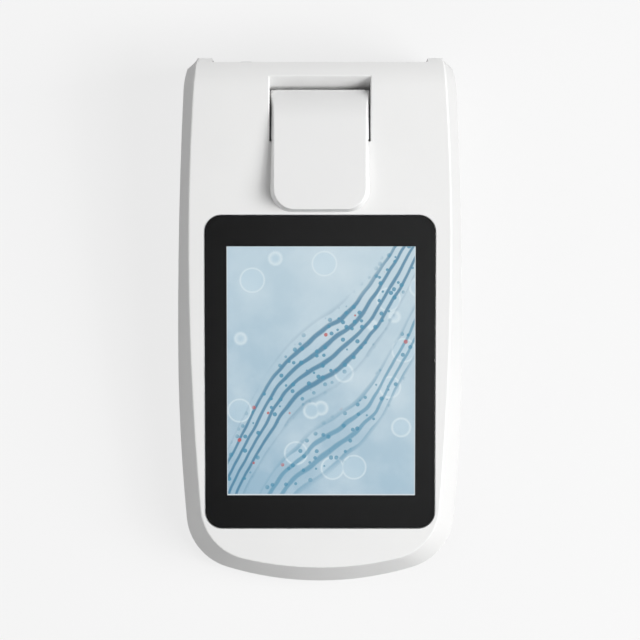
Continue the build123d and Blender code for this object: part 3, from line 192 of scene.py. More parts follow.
def moulded(name, colour, shade, worn_colour, roughness, grain, relief, **plain):
    """A moulded plastic or rubber with grain, faint mottling and worn edges."""
    material, tree, shader = new_finish(name, **plain)
    texture = place_group(tree, moulded_grain, Grain=grain)
    wear = place_group(tree, edge_wear, **plastic_wear)
    body = blended(tree, (texture, "Mottle"), colour, shade)
    wire(*blended(tree, (wear, "Edge"), body, worn_colour), shader, "Base Color")
    low, high = roughness - gloss_swing, roughness + gloss_swing
    wire(*ranged(tree, (texture, "Mottle"), To_Min=low, To_Max=high), shader, "Roughness")
    raised(tree, (texture, "Height"), relief, grain_height * grain)
    return material


white_abs = moulded(
    "white_abs", (0.80, 0.80, 0.795), (0.84, 0.84, 0.835), (0.87, 0.87, 0.865),
    roughness=0.46, grain=0.0005, relief=0.25, IOR=1.52,
)


def put_down():
    """Leaves edit mode, with nothing selected."""
    if bpy.context.mode != "OBJECT":
        bpy.ops.object.mode_set(mode="OBJECT")
    bpy.ops.object.select_all(action="DESELECT")


def select_only(piece):
    """Makes a piece the one selected and active object."""
    put_down()
    piece.select_set(True)
    bpy.context.view_layer.objects.active = piece
    return piece


def pick(piece, faces=None, edges=None):
    """In edit mode, selects the faces or edges that a test in code names."""
    bpy.ops.object.mode_set(mode="EDIT")
    bpy.ops.mesh.select_mode(type="FACE" if faces else "EDGE")
    bpy.ops.mesh.select_all(action="DESELECT")
    bpy.ops.object.mode_set(mode="OBJECT")
    mesh = piece.data
    for polygon in mesh.polygons if faces else ():
        polygon.select = faces(polygon)
    for edge in mesh.edges if edges else ():
        edge.select = edges(*(mesh.vertices[i].co for i in edge.vertices))
    bpy.ops.object.mode_set(mode="EDIT")


def merged_copy(node, name):
    """A CAD node's mesh as a new piece: one closed skin, which can be shaped further."""
    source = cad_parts[node]
    piece = bpy.data.objects.new(name, source.data.copy())
    piece.data.name = name
    bpy.context.scene.collection.objects.link(piece)
    select_only(piece)
    bpy.ops.mesh.customdata_custom_splitnormals_clear()
    bpy.ops.object.mode_set(mode="EDIT")
    bpy.ops.mesh.select_all(action="SELECT")
    bpy.ops.mesh.remove_doubles(threshold=weld_distance)
    bpy.ops.mesh.dissolve_limited(angle_limit=flat_angle)
    return piece


def apply_all(piece):
    """Applies a piece's modifiers in their order."""
    select_only(piece)
    for modifier in list(piece.modifiers):
        bpy.ops.object.modifier_apply(modifier=modifier.name)


def finished(piece, material, body, nodes=(), smooth=35.0):
    """Gives a piece its shading, finish and body, and hides the CAD nodes it stands for."""
    select_only(piece)
    bpy.ops.object.transform_apply(location=True, rotation=True, scale=True)
    bpy.ops.object.shade_smooth_by_angle(angle=radians(smooth))
    even = piece.modifiers.new("even_shading", "WEIGHTED_NORMAL")
    even.keep_sharp = True
    even.weight = 100
    apply_all(piece)
    piece.data.materials.clear()
    piece.data.materials.append(material)
    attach(piece, body)
    if nodes:
        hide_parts(*nodes)
    return piece


def on_seam(p):
    """Whether a point lies on the plane where the shells meet."""
    return abs(p.z - seam_middle - p.y * tan(deck_slope)) < hair


def grooved(piece):
    """Chamfers the outer edge where one shell meets the other."""
    bpy.ops.object.mode_set(mode="OBJECT")
    rim = [v.co.xy for v in piece.data.vertices if on_seam(v.co)]
    hull = [rim[i] for i in convex_hull_2d(rim)]
    sides = list(zip(hull, hull[1:] + hull[:1]))

    def outside(p):
        in_bay = p.y > bay_face - seam_reach and abs(p.x) < bay_half
        nearest = min((intersect_point_line(p.xy, a, b)[0] - p.xy).length for a, b in sides)
        return in_bay or nearest < seam_reach

    pick(piece, edges=lambda a, b: on_seam(a) and on_seam(b) and outside(a) and outside(b))
    bpy.ops.mesh.bevel(offset=seam_chamfer, segments=1, affect="EDGES")
    return piece


base_tray = grooved(merged_copy("lower_shell", "base_tray"))
finished(base_tray, white_abs, "case", ["lower_shell"])

# Four feet of black rubber, pressed into round seats under the base. Each has a rounded
# rim, a grip groove and a shallow dimple left by its mould.
foot_radius = 6.5 * mm
foot_length = 3.8 * mm
foot_rim = 0.7
foot_x, foot_y = 46.0 * mm, -84.0 * mm
next_foot_x, next_foot_y = -92.0 * mm, 166.0 * mm
foot_steps = ((1.7, 0.0), (0.2, -0.4), (0.6, 0.0), (0.2, 0.4), (2.0, 0.0), (0.9, -0.2))
black_rubber = moulded(
    "black_rubber", (0.022, 0.022, 0.023), (0.034, 0.034, 0.034), (0.06, 0.06, 0.06),
    roughness=0.72, grain=0.0003, relief=0.5,
)


def started(name):
    """Names a new primitive and puts its place in its mesh."""
    piece = bpy.context.active_object
    piece.name = piece.data.name = name
    bpy.ops.object.transform_apply(location=True, rotation=True, scale=True)
    return piece


def cylinder(name, radius, length, centre, turn=(0.0, 0.0, 0.0), sides=48):
    """A round bar as the start of a piece."""
    put_down()
    bpy.ops.mesh.primitive_cylinder_add(
        vertices=sides, radius=radius, depth=length, location=centre, rotation=turn
    )
    return started(name)


def block(name, low, high):
    """A block between two corners as the start of a piece."""
    low, high = Vector(low), Vector(high)
    put_down()
    bpy.ops.mesh.primitive_cube_add(size=1.0, location=(low + high) / 2, scale=high - low)
    return started(name)


def at(*place):
    """A place or size given in millimetres."""
    return Vector([number * mm for number in place])


def upright(a, b):
    """Whether an edge's ends lie at different heights."""
    return abs(a.z - b.z) > hair


def facing(x=0.0, y=0.0, z=0.0):
    """A test for faces that look along a direction."""
    way = Vector((x, y, z)).normalized()
    return lambda polygon: polygon.normal.dot(way) > 0.999


def stepped(piece, faces, steps):
    """Insets the faces that a test names, by each step's width, and sinks or raises them."""
    pick(piece, faces=faces)
    for width, depth in steps:
        bpy.ops.mesh.inset(thickness=width * mm, depth=depth * mm)


def rounded_edges(offset, segments=3):
    """Rounds the picked edges."""
    bpy.ops.mesh.bevel(offset=offset * mm, segments=segments, affect="EDGES")


def joined(piece, others):
    """Joins other meshes to a piece."""
    select_only(piece)
    for other in others:
        other.select_set(True)
    bpy.ops.object.join()
    return piece


def repeated(piece, moves):
    """Copies a piece to other places, each with its own mesh, and joins them to it."""
    select_only(piece)
    copies = []
    for move in moves:
        copy = piece.copy()
        copy.data = piece.data.copy()
        copy.data.transform(Matrix.Translation(move))
        bpy.context.scene.collection.objects.link(copy)
        copies.append(copy)
    return joined(piece, copies)


feet = cylinder("feet", foot_radius, foot_length, (foot_x, foot_y, foot_length / 2), sides=64)
pick(feet, edges=lambda a, b: max(a.z, b.z) < hair)
rounded_edges(foot_rim, 4)
stepped(feet, facing(z=-1), foot_steps)
foot_moves = [(next_foot_x, 0, 0), (0, next_foot_y, 0), (next_foot_x, next_foot_y, 0)]
finished(repeated(feet, foot_moves), black_rubber, "case", ["rubber_feet"])

# Plate in the underside: thin brushed aluminium, glued in its seat and left bare. It has
# round corners and a shallow pressed border.
plate_low, plate_high = at(-26, 17, 3.1), at(26, 43, 3.4)
plate_corner = 1.5
plate_border = ((1.0, 0.0), (0.2, -0.06))
metal_wear = {"Radius": 0.25 * mm, "Gain": 3.0}
rub_gain, rub_lift = 1.15, 0.03
smoothest, roughest = -0.08, 0.1
line_height = 0.1


def drawn_lines():
    """The lines left by brushing or drawing, and a broad change of tone."""
    tree, enters, leaves = effect("drawn_lines", ("Height", "Tone"), Line=0.00012, Length=0.02)
    place = own_place(tree)
    size = shader_node(tree, "CombineXYZ")
    wire(*reckon(tree, "DIVIDE", 1.0, (enters, "Length")), size, "X")
    across = reckon(tree, "DIVIDE", 1.0, (enters, "Line"))
    for axis in ("Y", "Z"):
        wire(*across, size, axis)
    stretched = shader_node(tree, "VectorMath", operation="MULTIPLY")
    wire(*place, stretched, 0)
    wire(size, "Vector", stretched, 1)
    streaks = textured(
        tree, "Noise", (stretched, "Vector"), {"Scale": 1.0, "Detail": 3.0, "Roughness": 0.7}
    )
    tone = textured(tree, "Noise", place, {"Scale": 60.0, "Detail": 4.0, "Roughness": 0.6})
    wire(streaks, "Fac", leaves, "Height")
    wire(tone, "Fac", leaves, "Tone")
    return tree


drawn_metal = drawn_lines()


def metal(name, colour, shade, roughness, line, length, relief):
    """A worked metal with drawn lines, a changing tone and rubbed edges."""
    material, tree, shader = new_finish(name, Metallic=1.0)
    work = place_group(tree, drawn_metal, Line=line, Length=length)
    wear = place_group(tree, edge_wear, **metal_wear)
    body = blended(tree, (work, "Tone"), colour, shade)
    bright = tuple(min(1.0, c * rub_gain + rub_lift) for c in colour)
    wire(*blended(tree, (wear, "Edge"), body, bright), shader, "Base Color")
    low, high = roughness + smoothest, roughness + roughest
    wire(*ranged(tree, (work, "Height"), To_Min=low, To_Max=high), shader, "Roughness")
    raised(tree, (work, "Height"), relief, line_height * line)
    return material


brushed_aluminium = metal(
    "brushed_aluminium", (0.60, 0.61, 0.62), (0.68, 0.69, 0.70),
    roughness=0.36, line=0.00015, length=0.03, relief=0.4,
)
bare_plate = block("bare_plate", plate_low, plate_high)
pick(bare_plate, edges=upright)
rounded_edges(plate_corner, 6)
stepped(bare_plate, facing(z=-1), plate_border)
finished(bare_plate, brushed_aluminium, "case", ["rating_plate"])

# Dust gauze over the cooling slots: woven steel wire with round corners, laid on the base
# inside. Its wires stand up at each crossing, with open holes between them.
gauze_low, gauze_high = at(-23, -58, 5.42), at(23, -22, 5.52)
gauze_corner = 2.0
gauze_pitch = 0.5 * mm
gauze_open = 0.2


def axes(tree, place):
    """A place's three numbers, as a node."""
    parts = shader_node(tree, "SeparateXYZ")
    wire(*place, parts, "Vector")
    return parts


def wave(tree, term, pitch):
    """A wave that repeats at a pitch."""
    return reckon(tree, "COSINE", reckon(tree, "MULTIPLY", term, 2 * pi / pitch))


def woven_wire():
    """A weave of wires, open between them."""
    material, tree, shader = new_finish("woven_wire", Metallic=1.0, Roughness=0.4)
    place = own_place(tree)
    parts = axes(tree, place)
    weave = reckon(tree, "MAXIMUM", *(wave(tree, (parts, axis), gauze_pitch) for axis in "XY"))
    wire(*reckon(tree, "GREATER_THAN", weave, gauze_open), shader, "Alpha")
    tone = textured(tree, "Noise", place, {"Scale": 300.0, "Detail": 3.0})
    colour = blended(tree, (tone, "Fac"), (0.30, 0.30, 0.31), (0.52, 0.52, 0.53))
    wire(*colour, shader, "Base Color")
    raised(tree, weave, 0.8, 0.05 * mm)
    return material


vent_gauze = block("vent_gauze", gauze_low, gauze_high)
pick(vent_gauze, edges=upright)
rounded_edges(gauze_corner, 5)
finished(vent_gauze, woven_wire(), "case")

# Brass inserts, melted into the upper shell's posts to take the case screws: turned, with a
# worn bright rim.


def dress(material, *nodes):
    """Gives CAD nodes, whose shape is right as it is, a finish."""
    for node in nodes:
        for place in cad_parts[node].material_slots:
            place.material = material


turned_brass = metal(
    "turned_brass", (0.62, 0.44, 0.17), (0.72, 0.53, 0.24),
    roughness=0.3, line=0.0001, length=0.001, relief=0.5,
)
dress(turned_brass, "shell_inserts")

# Main board and the small boards: glass fibre under green solder mask, with copper
# tracks that show through it and tinned holes.
board_pitch = 2.5 * mm
track_half = 0.12
pad_radius = 0.13


def track_pattern():
    """Tracks at right angles and half right angles, and round pads."""
    tree, enters, leaves = effect("track_pattern", ("Track", "Pad"), Pitch=board_pitch)
    place = own_place(tree)
    scale = reckon(tree, "DIVIDE", 1.0, (enters, "Pitch"))
    near, second = (
        textured(tree, "Voronoi", place, {"Randomness": 0.8}, distance="MANHATTAN", feature=which)
        for which in ("F1", "F2")
    )
    for cell in (near, second):
        wire(*scale, cell, "Scale")
    between = reckon(tree, "SUBTRACT", (second, "Distance"), (near, "Distance"))
    wire(*reckon(tree, "LESS_THAN", between, track_half), leaves, "Track")
    wire(*reckon(tree, "LESS_THAN", (near, "Distance"), pad_radius), leaves, "Pad")
    return tree


def board(name, colour, shade, track, pad):
    """A circuit board's solder mask over its tracks, with bare pads."""
    material, tree, shader = new_finish(name, Roughness=0.35)
    pattern = place_group(tree, track_pattern(), Pitch=board_pitch)
    texture = place_group(tree, moulded_grain, Grain=0.0006)
    mask = blended(tree, (texture, "Mottle"), colour, shade)
    tracks = blended(tree, (pattern, "Track"), mask, track)
    wire(*blended(tree, (pattern, "Pad"), tracks, pad), shader, "Base Color")
    wire(pattern, "Pad", shader, "Metallic")
    raised(tree, (pattern, "Track"), 0.5, 0.03 * mm)
    return material


green_board = board(
    "green_board", (0.010, 0.075, 0.035), (0.016, 0.095, 0.045),
    track=(0.03, 0.16, 0.07), pad=(0.7, 0.66, 0.5),
)
dress(green_board, "main_board", "io_board", "led_boards", "detector_board", "lid_sensor")

# Processor, memory, coils, plugs, clock cell holder, buzzer, power switch and the rings that
# hold the light sources: black moulded bodies, matt with a fine grain.
black_moulding = moulded(
    "black_moulding", (0.016, 0.016, 0.017), (0.026, 0.026, 0.027), (0.06, 0.06, 0.06),
    roughness=0.55, grain=0.0002, relief=0.35,
)
dress(black_moulding, "board_chips", "cell_holder", "buzzer", "power_switch", "led_holders")

# Clock cell, small screws, clips, display tray, screening can, detector can, catch discs and
# hinge pin: plated steel, with the faint lines of its rolling or turning.
plated_steel = metal(
    "plated_steel", (0.52, 0.53, 0.55), (0.60, 0.61, 0.63),
    roughness=0.32, line=0.0001, length=0.004, relief=0.35,
)
dress(
    plated_steel, "coin_cell", "board_screws", "optics_screws", "lcd_screws", "lcd_brackets",
    "lcd_frame", "detector_shield", "photodiode", "catch_discs", "hinge_pin",
)

# Flat cables between the boards: amber polyimide film over flat copper conductors, which
# show as darker lines along it.
cable_pitch = 1.0 * mm
conductor_edge = -0.2


def cable_film():
    """Amber film with conductors along it."""
    material, tree, shader = new_finish("cable_film", Roughness=0.28, IOR=1.6)
    place = own_place(tree)
    conductors = wave(tree, (axes(tree, place), "X"), cable_pitch)
    line = reckon(tree, "GREATER_THAN", conductors, conductor_edge)
    tone = textured(tree, "Noise", place, {"Scale": 90.0, "Detail": 3.0})
    film = blended(tree, (tone, "Fac"), (0.46, 0.20, 0.035), (0.58, 0.28, 0.06))
    wire(*blended(tree, line, film, (0.30, 0.13, 0.03)), shader, "Base Color")
    raised(tree, line, 0.4, 0.04 * mm)
    return material


dress(cable_film(), "lcd_cable", "io_cable", "led_cables", "detector_cable")

# Plate round the ports: grey moulded plastic with softened rims, fitted in the bay between
# the two shells.
plate_softening = 0.15
grey_plate = moulded(
    "grey_plate", (0.13, 0.135, 0.14), (0.16, 0.165, 0.17), (0.26, 0.26, 0.27),
    roughness=0.5, grain=0.0004, relief=0.5,
)


def softened(piece, width, segments=2):
    """Rounds every sharp edge of a piece."""
    select_only(piece)
    edge = piece.modifiers.new("soft_edges", "BEVEL")
    edge.width, edge.segments = width * mm, segments
    edge.limit_method, edge.angle_limit = "ANGLE", radians(40.0)
    apply_all(piece)
    return piece


port_plate = softened(merged_copy("rear_panel", "port_plate"), plate_softening)
finished(port_plate, grey_plate, "case", ["rear_panel"])

# Power inlet: black moulded body with a round nose and a bore, in which stand a turned
# nickel pin with a hollow tip and a contact spring.
jack_x = 34.0 * mm
port_z = 20.5 * mm
port_front = 119.0 * mm
jack_softening = 0.25
stub_sink = 9.3 * mm
pin_radius = 0.98 * mm
pin_length = 8.6 * mm
pin_front = port_front - 0.9 * mm
pin_round = 0.35
pin_tip = ((0.25, 0.0), (0.08, -0.9))
spring_low, spring_high = at(32.9, 111.0, 17.75), at(35.1, 117.0, 18.0)
spring_crown = ((0.35, 0.25),)
along_y = (radians(90.0), 0.0, 0.0)
nickel = metal(
    "nickel", (0.60, 0.59, 0.56), (0.70, 0.69, 0.66),
    roughness=0.22, line=0.00008, length=0.002, relief=0.25,
)


def on_stub(polygon):
    """Whether a face is the front of the moulded stub in the inlet's bore."""
    centre = polygon.center
    in_bore = abs(centre.x - jack_x) < mm and abs(centre.z - port_z) < mm
    return in_bore and polygon.normal.y > 0.99 and centre.y > port_front - mm


jack_body = merged_copy("dc_jack", "jack_body")
pick(jack_body, faces=on_stub)
bpy.ops.transform.translate(value=(0.0, -stub_sink, 0.0))
softened(jack_body, jack_softening, 3)
finished(jack_body, black_moulding, "case", ["dc_jack"])
pin_middle = (jack_x, pin_front - pin_length / 2, port_z)
jack_pin = cylinder("jack_pin", pin_radius, pin_length, pin_middle, along_y)
pick(jack_pin, edges=lambda a, b: min(a.y, b.y) > pin_front - hair)
rounded_edges(pin_round, 3)
stepped(jack_pin, facing(y=1), pin_tip)
finished(jack_pin, nickel, "case")
jack_spring = block("jack_spring", spring_low, spring_high)
stepped(jack_spring, facing(z=1), spring_crown)
finished(jack_spring, nickel, "case")

# Computer port and memory port: folded and plated sheet-steel cans with rounded corners and
# deep mouths. Each has gilt contacts on a moulded white tongue.
can_wall = 0.5
can_depth = 9.0
can_corner = 0.8
can_softening = 0.12
tongue_softening = 0.15
contact_back = 110.5 * mm
contact_front = 117.3 * mm
contact_rise, contact_round = 0.07, 0.04
memory_middle, memory_gap, memory_width, memory_level = -10.0, 2.2, 1.0, 20.8
computer_middle, computer_gap, computer_width = 11.0, 1.3, 1.1
computer_levels = ((18.9, -contact_rise), (22.1, contact_rise))
can_steel = metal(
    "can_steel", (0.60, 0.60, 0.60), (0.68, 0.68, 0.68),
    roughness=0.26, line=0.0001, length=0.006, relief=0.3,
)
gilt = metal(
    "gilt", (0.83, 0.60, 0.22), (0.90, 0.68, 0.30),
    roughness=0.2, line=0.00008, length=0.003, relief=0.2,
)
tongue_white = moulded(
    "tongue_white", (0.70, 0.70, 0.67), (0.76, 0.76, 0.73), (0.82, 0.82, 0.80),
    roughness=0.42, grain=0.0003, relief=0.2,
)


def port_can(node, name):
    """A folded can: round corners, a mouth with a thin wall, and softened rims."""
    can = block(name, *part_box(node))
    pick(can, edges=lambda a, b: abs(a.y - b.y) > mm)
    rounded_edges(can_corner, 4)
    stepped(can, facing(y=1), ((can_wall, 0.0), (0.0, -can_depth)))
    finished(softened(can, can_softening), can_steel, "case", [node])


port_can("usb_b_socket", "computer_port_can")
port_can("usb_a_socket", "memory_port_can")
tongues = softened(merged_copy("socket_tongues", "tongues"), tongue_softening)
finished(tongues, tongue_white, "case", ["socket_tongues"])


def contact_strip(x, z, width, rise):
    """One gilt contact on a tongue, with a rounded front."""
    low, high = min(z, z + rise) * mm, max(z, z + rise) * mm
    strip = block(
        "contact", ((x - width / 2) * mm, contact_back, low),
        ((x + width / 2) * mm, contact_front, high),
    )
    pick(strip, edges=lambda a, b: min(a.y, b.y) > contact_front - hair and abs(a.x - b.x) > hair)
    rounded_edges(contact_round, 2)
    return strip


contacts = [
    contact_strip(memory_middle + place * memory_gap, memory_level, memory_width, -contact_rise)
    for place in (-1.5, -0.5, 0.5, 1.5)
]
contacts += [
    contact_strip(computer_middle + hand * computer_gap, level, computer_width, rise)
    for hand in (-1, 1) for level, rise in computer_levels
]
contacts[0].name = "port_contacts"
finished(joined(contacts[0], contacts[1:]), gilt, "case")

# Optics block and detector housing: milled aluminium, anodised black, with a fine satin
# grain and edges rubbed slightly grey.
black_anodised = moulded(
    "black_anodised", (0.012, 0.012, 0.013), (0.02, 0.02, 0.021), (0.12, 0.12, 0.125),
    roughness=0.4, grain=0.00015, relief=0.3, Metallic=0.6,
)
dress(black_anodised, "optics_block", "detector_housing")

# Lenses, filters and light sources: clear and tinted glass or resin, smooth, with the
# faintest unevenness.
deeper_tint = 0.96


def clear(name, colour, roughness=0.03, ior=1.5):
    """Glass or resin: clear, faintly uneven, and tinted a little more in places."""
    material, tree, shader = new_finish(
        name, Roughness=roughness, IOR=ior, Transmission_Weight=1.0
    )
    texture = place_group(tree, moulded_grain, Grain=0.003)
    tint = blended(tree, (texture, "Mottle"), colour, tuple(c * deeper_tint for c in colour))
    wire(*tint, shader, "Base Color")
    raised(tree, (texture, "Mottle"), 0.02, 0.01 * mm)
    return material


dress(clear("lens_glass", (0.92, 0.96, 0.98)), "lenses")
dress(clear("filter_coating", (0.35, 0.40, 0.85), 0.05, 1.6), "excitation_filters")
dress(clear("filter_coating_rear", (0.30, 0.70, 0.45), 0.05, 1.6), "emission_filter")
dress(clear("blue_resin", (0.25, 0.45, 0.95), 0.12), "blue_led")
dress(clear("red_resin", (0.90, 0.16, 0.12), 0.12), "red_led")

# Foam: the soft ring between display and deck, and the ring in the lid that darkens the
# well. Black open-cell foam with fine pores.


def foam():
    """Open-cell foam, with painted shade darkening its pores."""
    material, tree, shader = new_finish("black_foam", Roughness=0.9)
    place = own_place(tree)
    pores = textured(tree, "Voronoi", place, {"Scale": 1800.0}, feature="SMOOTH_F1")
    soft = textured(tree, "Noise", place, {"Scale": 700.0, "Detail": 4.0})
    # painted shade: the colour darkens where the pores sink in
    colour = blended(tree, (pores, "Distance"), (0.012, 0.012, 0.013), (0.05, 0.05, 0.052))
    wire(*colour, shader, "Base Color")
    height = reckon(tree, "ADD", (pores, "Distance"), (soft, "Fac"))
    raised(tree, height, 0.7, 0.15 * mm)
    return material


dress(foam(), "lcd_gasket", "lid_seal")

# Display: a lit colour cell in a steel tray, seen through the mask's window. It shows a
# generic pale blue picture: soft clouds, clear bubbles and two bands of flowing lines.
screen_x = 0.5 * mm
screen_y = -21.915 * mm
screen_width = 86.4 * mm
screen_height = 115.2 * mm
picture_glow = 1.0
bubble_size, bubble_rim = 0.32, 0.035
line_tilt = 1.05
line_bends, bend_size = 6.0, 0.09
line_count, line_stray = 95.0, 9.0
bead_size = 0.3
warm_share = 0.93
# height, half width, colour and strength of each band
line_bands = (
    (0.02, 0.17, (0.035, 0.20, 0.34), 0.85),
    (-0.36, 0.12, (0.09, 0.30, 0.45), 0.75),
)
border_side, border_end = 0.497, 0.4978


def picture():
    """The lit picture, drawn on the cell's own coordinates from 0 to 1 each way."""
    material, tree, shader = new_finish(
        "picture", Roughness=0.35, Base_Color=(0.01, 0.01, 0.012, 1.0),
        Emission_Strength=picture_glow,
    )

    def calc(operation, first, second=0.0):
        return reckon(tree, operation, first, second)

    parts = axes(tree, own_place(tree))
    seen_height = screen_height * cos(deck_slope)
    from_left = calc("SUBTRACT", (parts, "X"), screen_x - screen_width / 2)
    from_foot = calc("SUBTRACT", (parts, "Y"), screen_y - seen_height / 2)
    across = calc("DIVIDE", from_left, screen_width)
    up = calc("DIVIDE", from_foot, seen_height)
    flat = shader_node(tree, "CombineXYZ")
    wire(*across, flat, "X")
    wire(*calc("MULTIPLY", up, screen_height / screen_width), flat, "Y")
    sheet = (flat, "Vector")

    # sky: deeper below at the left, paler above, with soft clouds
    rise = calc("ADD", calc("MULTIPLY", up, 0.6), calc("MULTIPLY", across, 0.3))
    sky = blended(tree, rise, (0.32, 0.50, 0.63), (0.62, 0.74, 0.80))
    clouds = textured(tree, "Noise", sheet, {"Scale": 2.6, "Detail": 5.0, "Roughness": 0.55})
    cloud = ranged(tree, (clouds, "Fac"), From_Min=0.42, From_Max=0.72, To_Max=0.6)
    air = blended(tree, cloud, sky, (0.72, 0.82, 0.87))

    # bubbles: pale discs with a brighter rim
    bubbles = textured(tree, "Voronoi", sheet, {"Scale": 5.0, "Randomness": 0.9})
    disc = ranged(tree, (bubbles, "Distance"), From_Min=0.36, From_Max=0.30, To_Max=0.35)
    off_rim = calc("ABSOLUTE", calc("SUBTRACT", (bubbles, "Distance"), bubble_size))
    rim = ranged(tree, off_rim, From_Min=bubble_rim, From_Max=0.0, To_Max=0.6)
    discs = blended(tree, disc, air, (0.55, 0.72, 0.82))
    shades = blended(tree, rim, discs, (0.82, 0.90, 0.93))

    # flowing lines with beads along them, in bands from lower left to upper right
    swing = calc("SINE", calc("MULTIPLY", across, line_bends))
    course = calc("ADD", calc("MULTIPLY", across, line_tilt), calc("MULTIPLY", swing, bend_size))
    stray = textured(tree, "Noise", sheet, {"Scale": 3.0, "Detail": 2.0})
    drift = calc("MULTIPLY", (stray, "Fac"), line_stray)
    beads = textured(tree, "Voronoi", sheet, {"Scale": 26.0, "Randomness": 0.7})
    bead = calc("LESS_THAN", (beads, "Distance"), bead_size)
    hue = shader_node(tree, "SeparateColor")
    wire(beads, "Color", hue, "Color")
    warm = calc("GREATER_THAN", (hue, "Red"), warm_share)
    bead_colour = blended(tree, warm, (0.05, 0.27, 0.42), (0.55, 0.08, 0.07))
    for height, half, shade, strength in line_bands:
        away = calc("SUBTRACT", up, calc("ADD", course, height))
        near = ranged(
            tree, calc("ABSOLUTE", away), From_Min=half, From_Max=half * 0.6, To_Max=strength
        )
        ripple = calc("SINE", calc("ADD", calc("MULTIPLY", away, line_count), drift))
        line = ranged(tree, ripple, From_Min=0.1, From_Max=0.75)
        shades = blended(tree, calc("MULTIPLY", line, near), shades, shade)
        shades = blended(tree, calc("MULTIPLY", bead, near), shades, bead_colour)

    # thin light line round the picture
    side = calc("SUBTRACT", calc("ABSOLUTE", calc("SUBTRACT", across, 0.5)), border_side)
    end = calc("SUBTRACT", calc("ABSOLUTE", calc("SUBTRACT", up, 0.5)), border_end)
    border = calc("GREATER_THAN", calc("MAXIMUM", side, end), 0.0)
    wire(*blended(tree, border, shades, (0.74, 0.80, 0.83)), shader, "Emission Color")
    return material


dress(picture(), "lcd_panel")

# Upper shell: white moulded ABS like the base, with the sloping deck, the glass seat and the
# lid's pocket. It is screwed down on the base's rim.
deck_housing = grooved(merged_copy("upper_shell", "deck_housing"))
finished(deck_housing, white_abs, "case", ["upper_shell"])

# Touch glass: toughened glass with a ground and polished edge, bonded flush in the deck over
# a black printed film that leaves the screen's window open.
glass_width = 105.6 * mm
glass_length = 144.8 * mm
glass_thickness = 1.81 * mm
glass_corner = 7.8
glass_edge = 0.25
glass_y = -22.75 * mm
glass_z = deck_height + glass_y * tan(deck_slope)
touch_cover = clear("touch_cover", (0.96, 0.97, 0.975), 0.02, 1.45)
mask_ink = moulded(
    "mask_ink", (0.0020, 0.0020, 0.0025), (0.0030, 0.0030, 0.0035), (0.004, 0.004, 0.004),
    roughness=0.6, grain=0.002, relief=0.01, Specular_IOR_Level=0.1,
)
touch_glass = block(
    "touch_glass", (-glass_width / 2, -glass_length / 2, -glass_thickness),
    (glass_width / 2, glass_length / 2, 0.0),
)
pick(touch_glass, edges=upright)
rounded_edges(glass_corner, 14)
pick(touch_glass, edges=lambda a, b: min(a.z, b.z) > -hair)
rounded_edges(glass_edge, 2)
touch_glass.rotation_euler = (deck_slope, 0.0, 0.0)
touch_glass.location = (0.0, glass_y, glass_z)
finished(touch_glass, touch_cover, "case", ["cover_glass"])
dress(mask_ink, "bezel_mask")

# Sample well: a dished insert in the deck, the collar that takes the tube, the sleeve round
# the tube, and the lid's liner. All are black moulded plastic that gives off little light.
well_black = moulded(
    "well_black", (0.014, 0.014, 0.015), (0.022, 0.022, 0.023), (0.05, 0.05, 0.05),
    roughness=0.6, grain=0.00035, relief=0.5,
)
dress(well_black, "sample_bezel", "sample_collar", "sample_sleeve", "lid_liner")

# Lid: white moulded ABS, a little glossier than the case. It swings on a steel pin in two
# flanged bushes of natural acetal, and plated magnets in its black liner hold it shut.
lid_abs = moulded(
    "lid_abs", (0.80, 0.80, 0.80), (0.835, 0.835, 0.83), (0.87, 0.87, 0.865),
    roughness=0.44, grain=0.0004, relief=0.22, IOR=1.52,
)
natural_acetal = moulded(
    "natural_acetal", (0.74, 0.74, 0.71), (0.79, 0.79, 0.76), (0.84, 0.84, 0.82),
    roughness=0.35, grain=0.0003, relief=0.15,
)
dress(lid_abs, "lid_cover")
dress(natural_acetal, "hinge_bushes", "switch_plunger")
dress(nickel, "lid_magnets")

# Screws: plated steel, four up into the case's brass inserts and four small ones that hold
# the liner in the lid. Their heads are rounded at the rim and have a cross recess.
case_screw_spots = [(36, -98), (-36, -98), (51.5, 96), (-51.5, 96)]
lid_screw_spots = [(14.5, 57), (-14.5, 57), (14.5, 78), (-14.5, 78)]
case_screw_rim, lid_screw_rim = 0.5, 0.35
head_reach = 4.0 * mm
# width, length and depth of the cross
case_screw_cross = (0.6, 3.2, 1.2)
lid_screw_cross = (0.45, 2.2, 0.6)


def cross_screws(node, name, spots, body, rim, cross):
    """Screws with their heads' rims rounded and a cross cut into each head from below."""
    screws = merged_copy(node, name)
    bpy.ops.object.mode_set(mode="OBJECT")
    corners = [v.co.copy() for v in screws.data.vertices]
    heads = []
    for spot in spots:
        middle = at(*spot)
        foot = min(c.z for c in corners if (c.xy - middle).length < head_reach)
        heads.append(Vector((*middle, foot)))

    def on_head(a, b):
        return any(max(abs(a.z - head.z), abs(b.z - head.z)) < hair for head in heads)

    pick(screws, edges=on_head)
    rounded_edges(rim, 4)
    width, length, depth = cross
    halves = Vector((width / 2, length / 2, 0.0)), Vector((length / 2, width / 2, 0.0))
    cutters = [
        block("recess", head - half * mm - at(0, 0, 1), head + half * mm + at(0, 0, depth))
        for head in heads for half in halves
    ]
    recess = joined(cutters[0], cutters[1:])
    cut = screws.modifiers.new("cross", "BOOLEAN")
    cut.object, cut.operation, cut.solver, cut.use_self = recess, "DIFFERENCE", "EXACT", True
    apply_all(screws)
    bpy.data.objects.remove(recess)
    finished(screws, plated_steel, body, [node])


cross_screws(
    "shell_screws", "case_screws", case_screw_spots, "case", case_screw_rim, case_screw_cross
)
cross_screws("lid_screws", "liner_screws", lid_screw_spots, "lid", lid_screw_rim, lid_screw_cross)

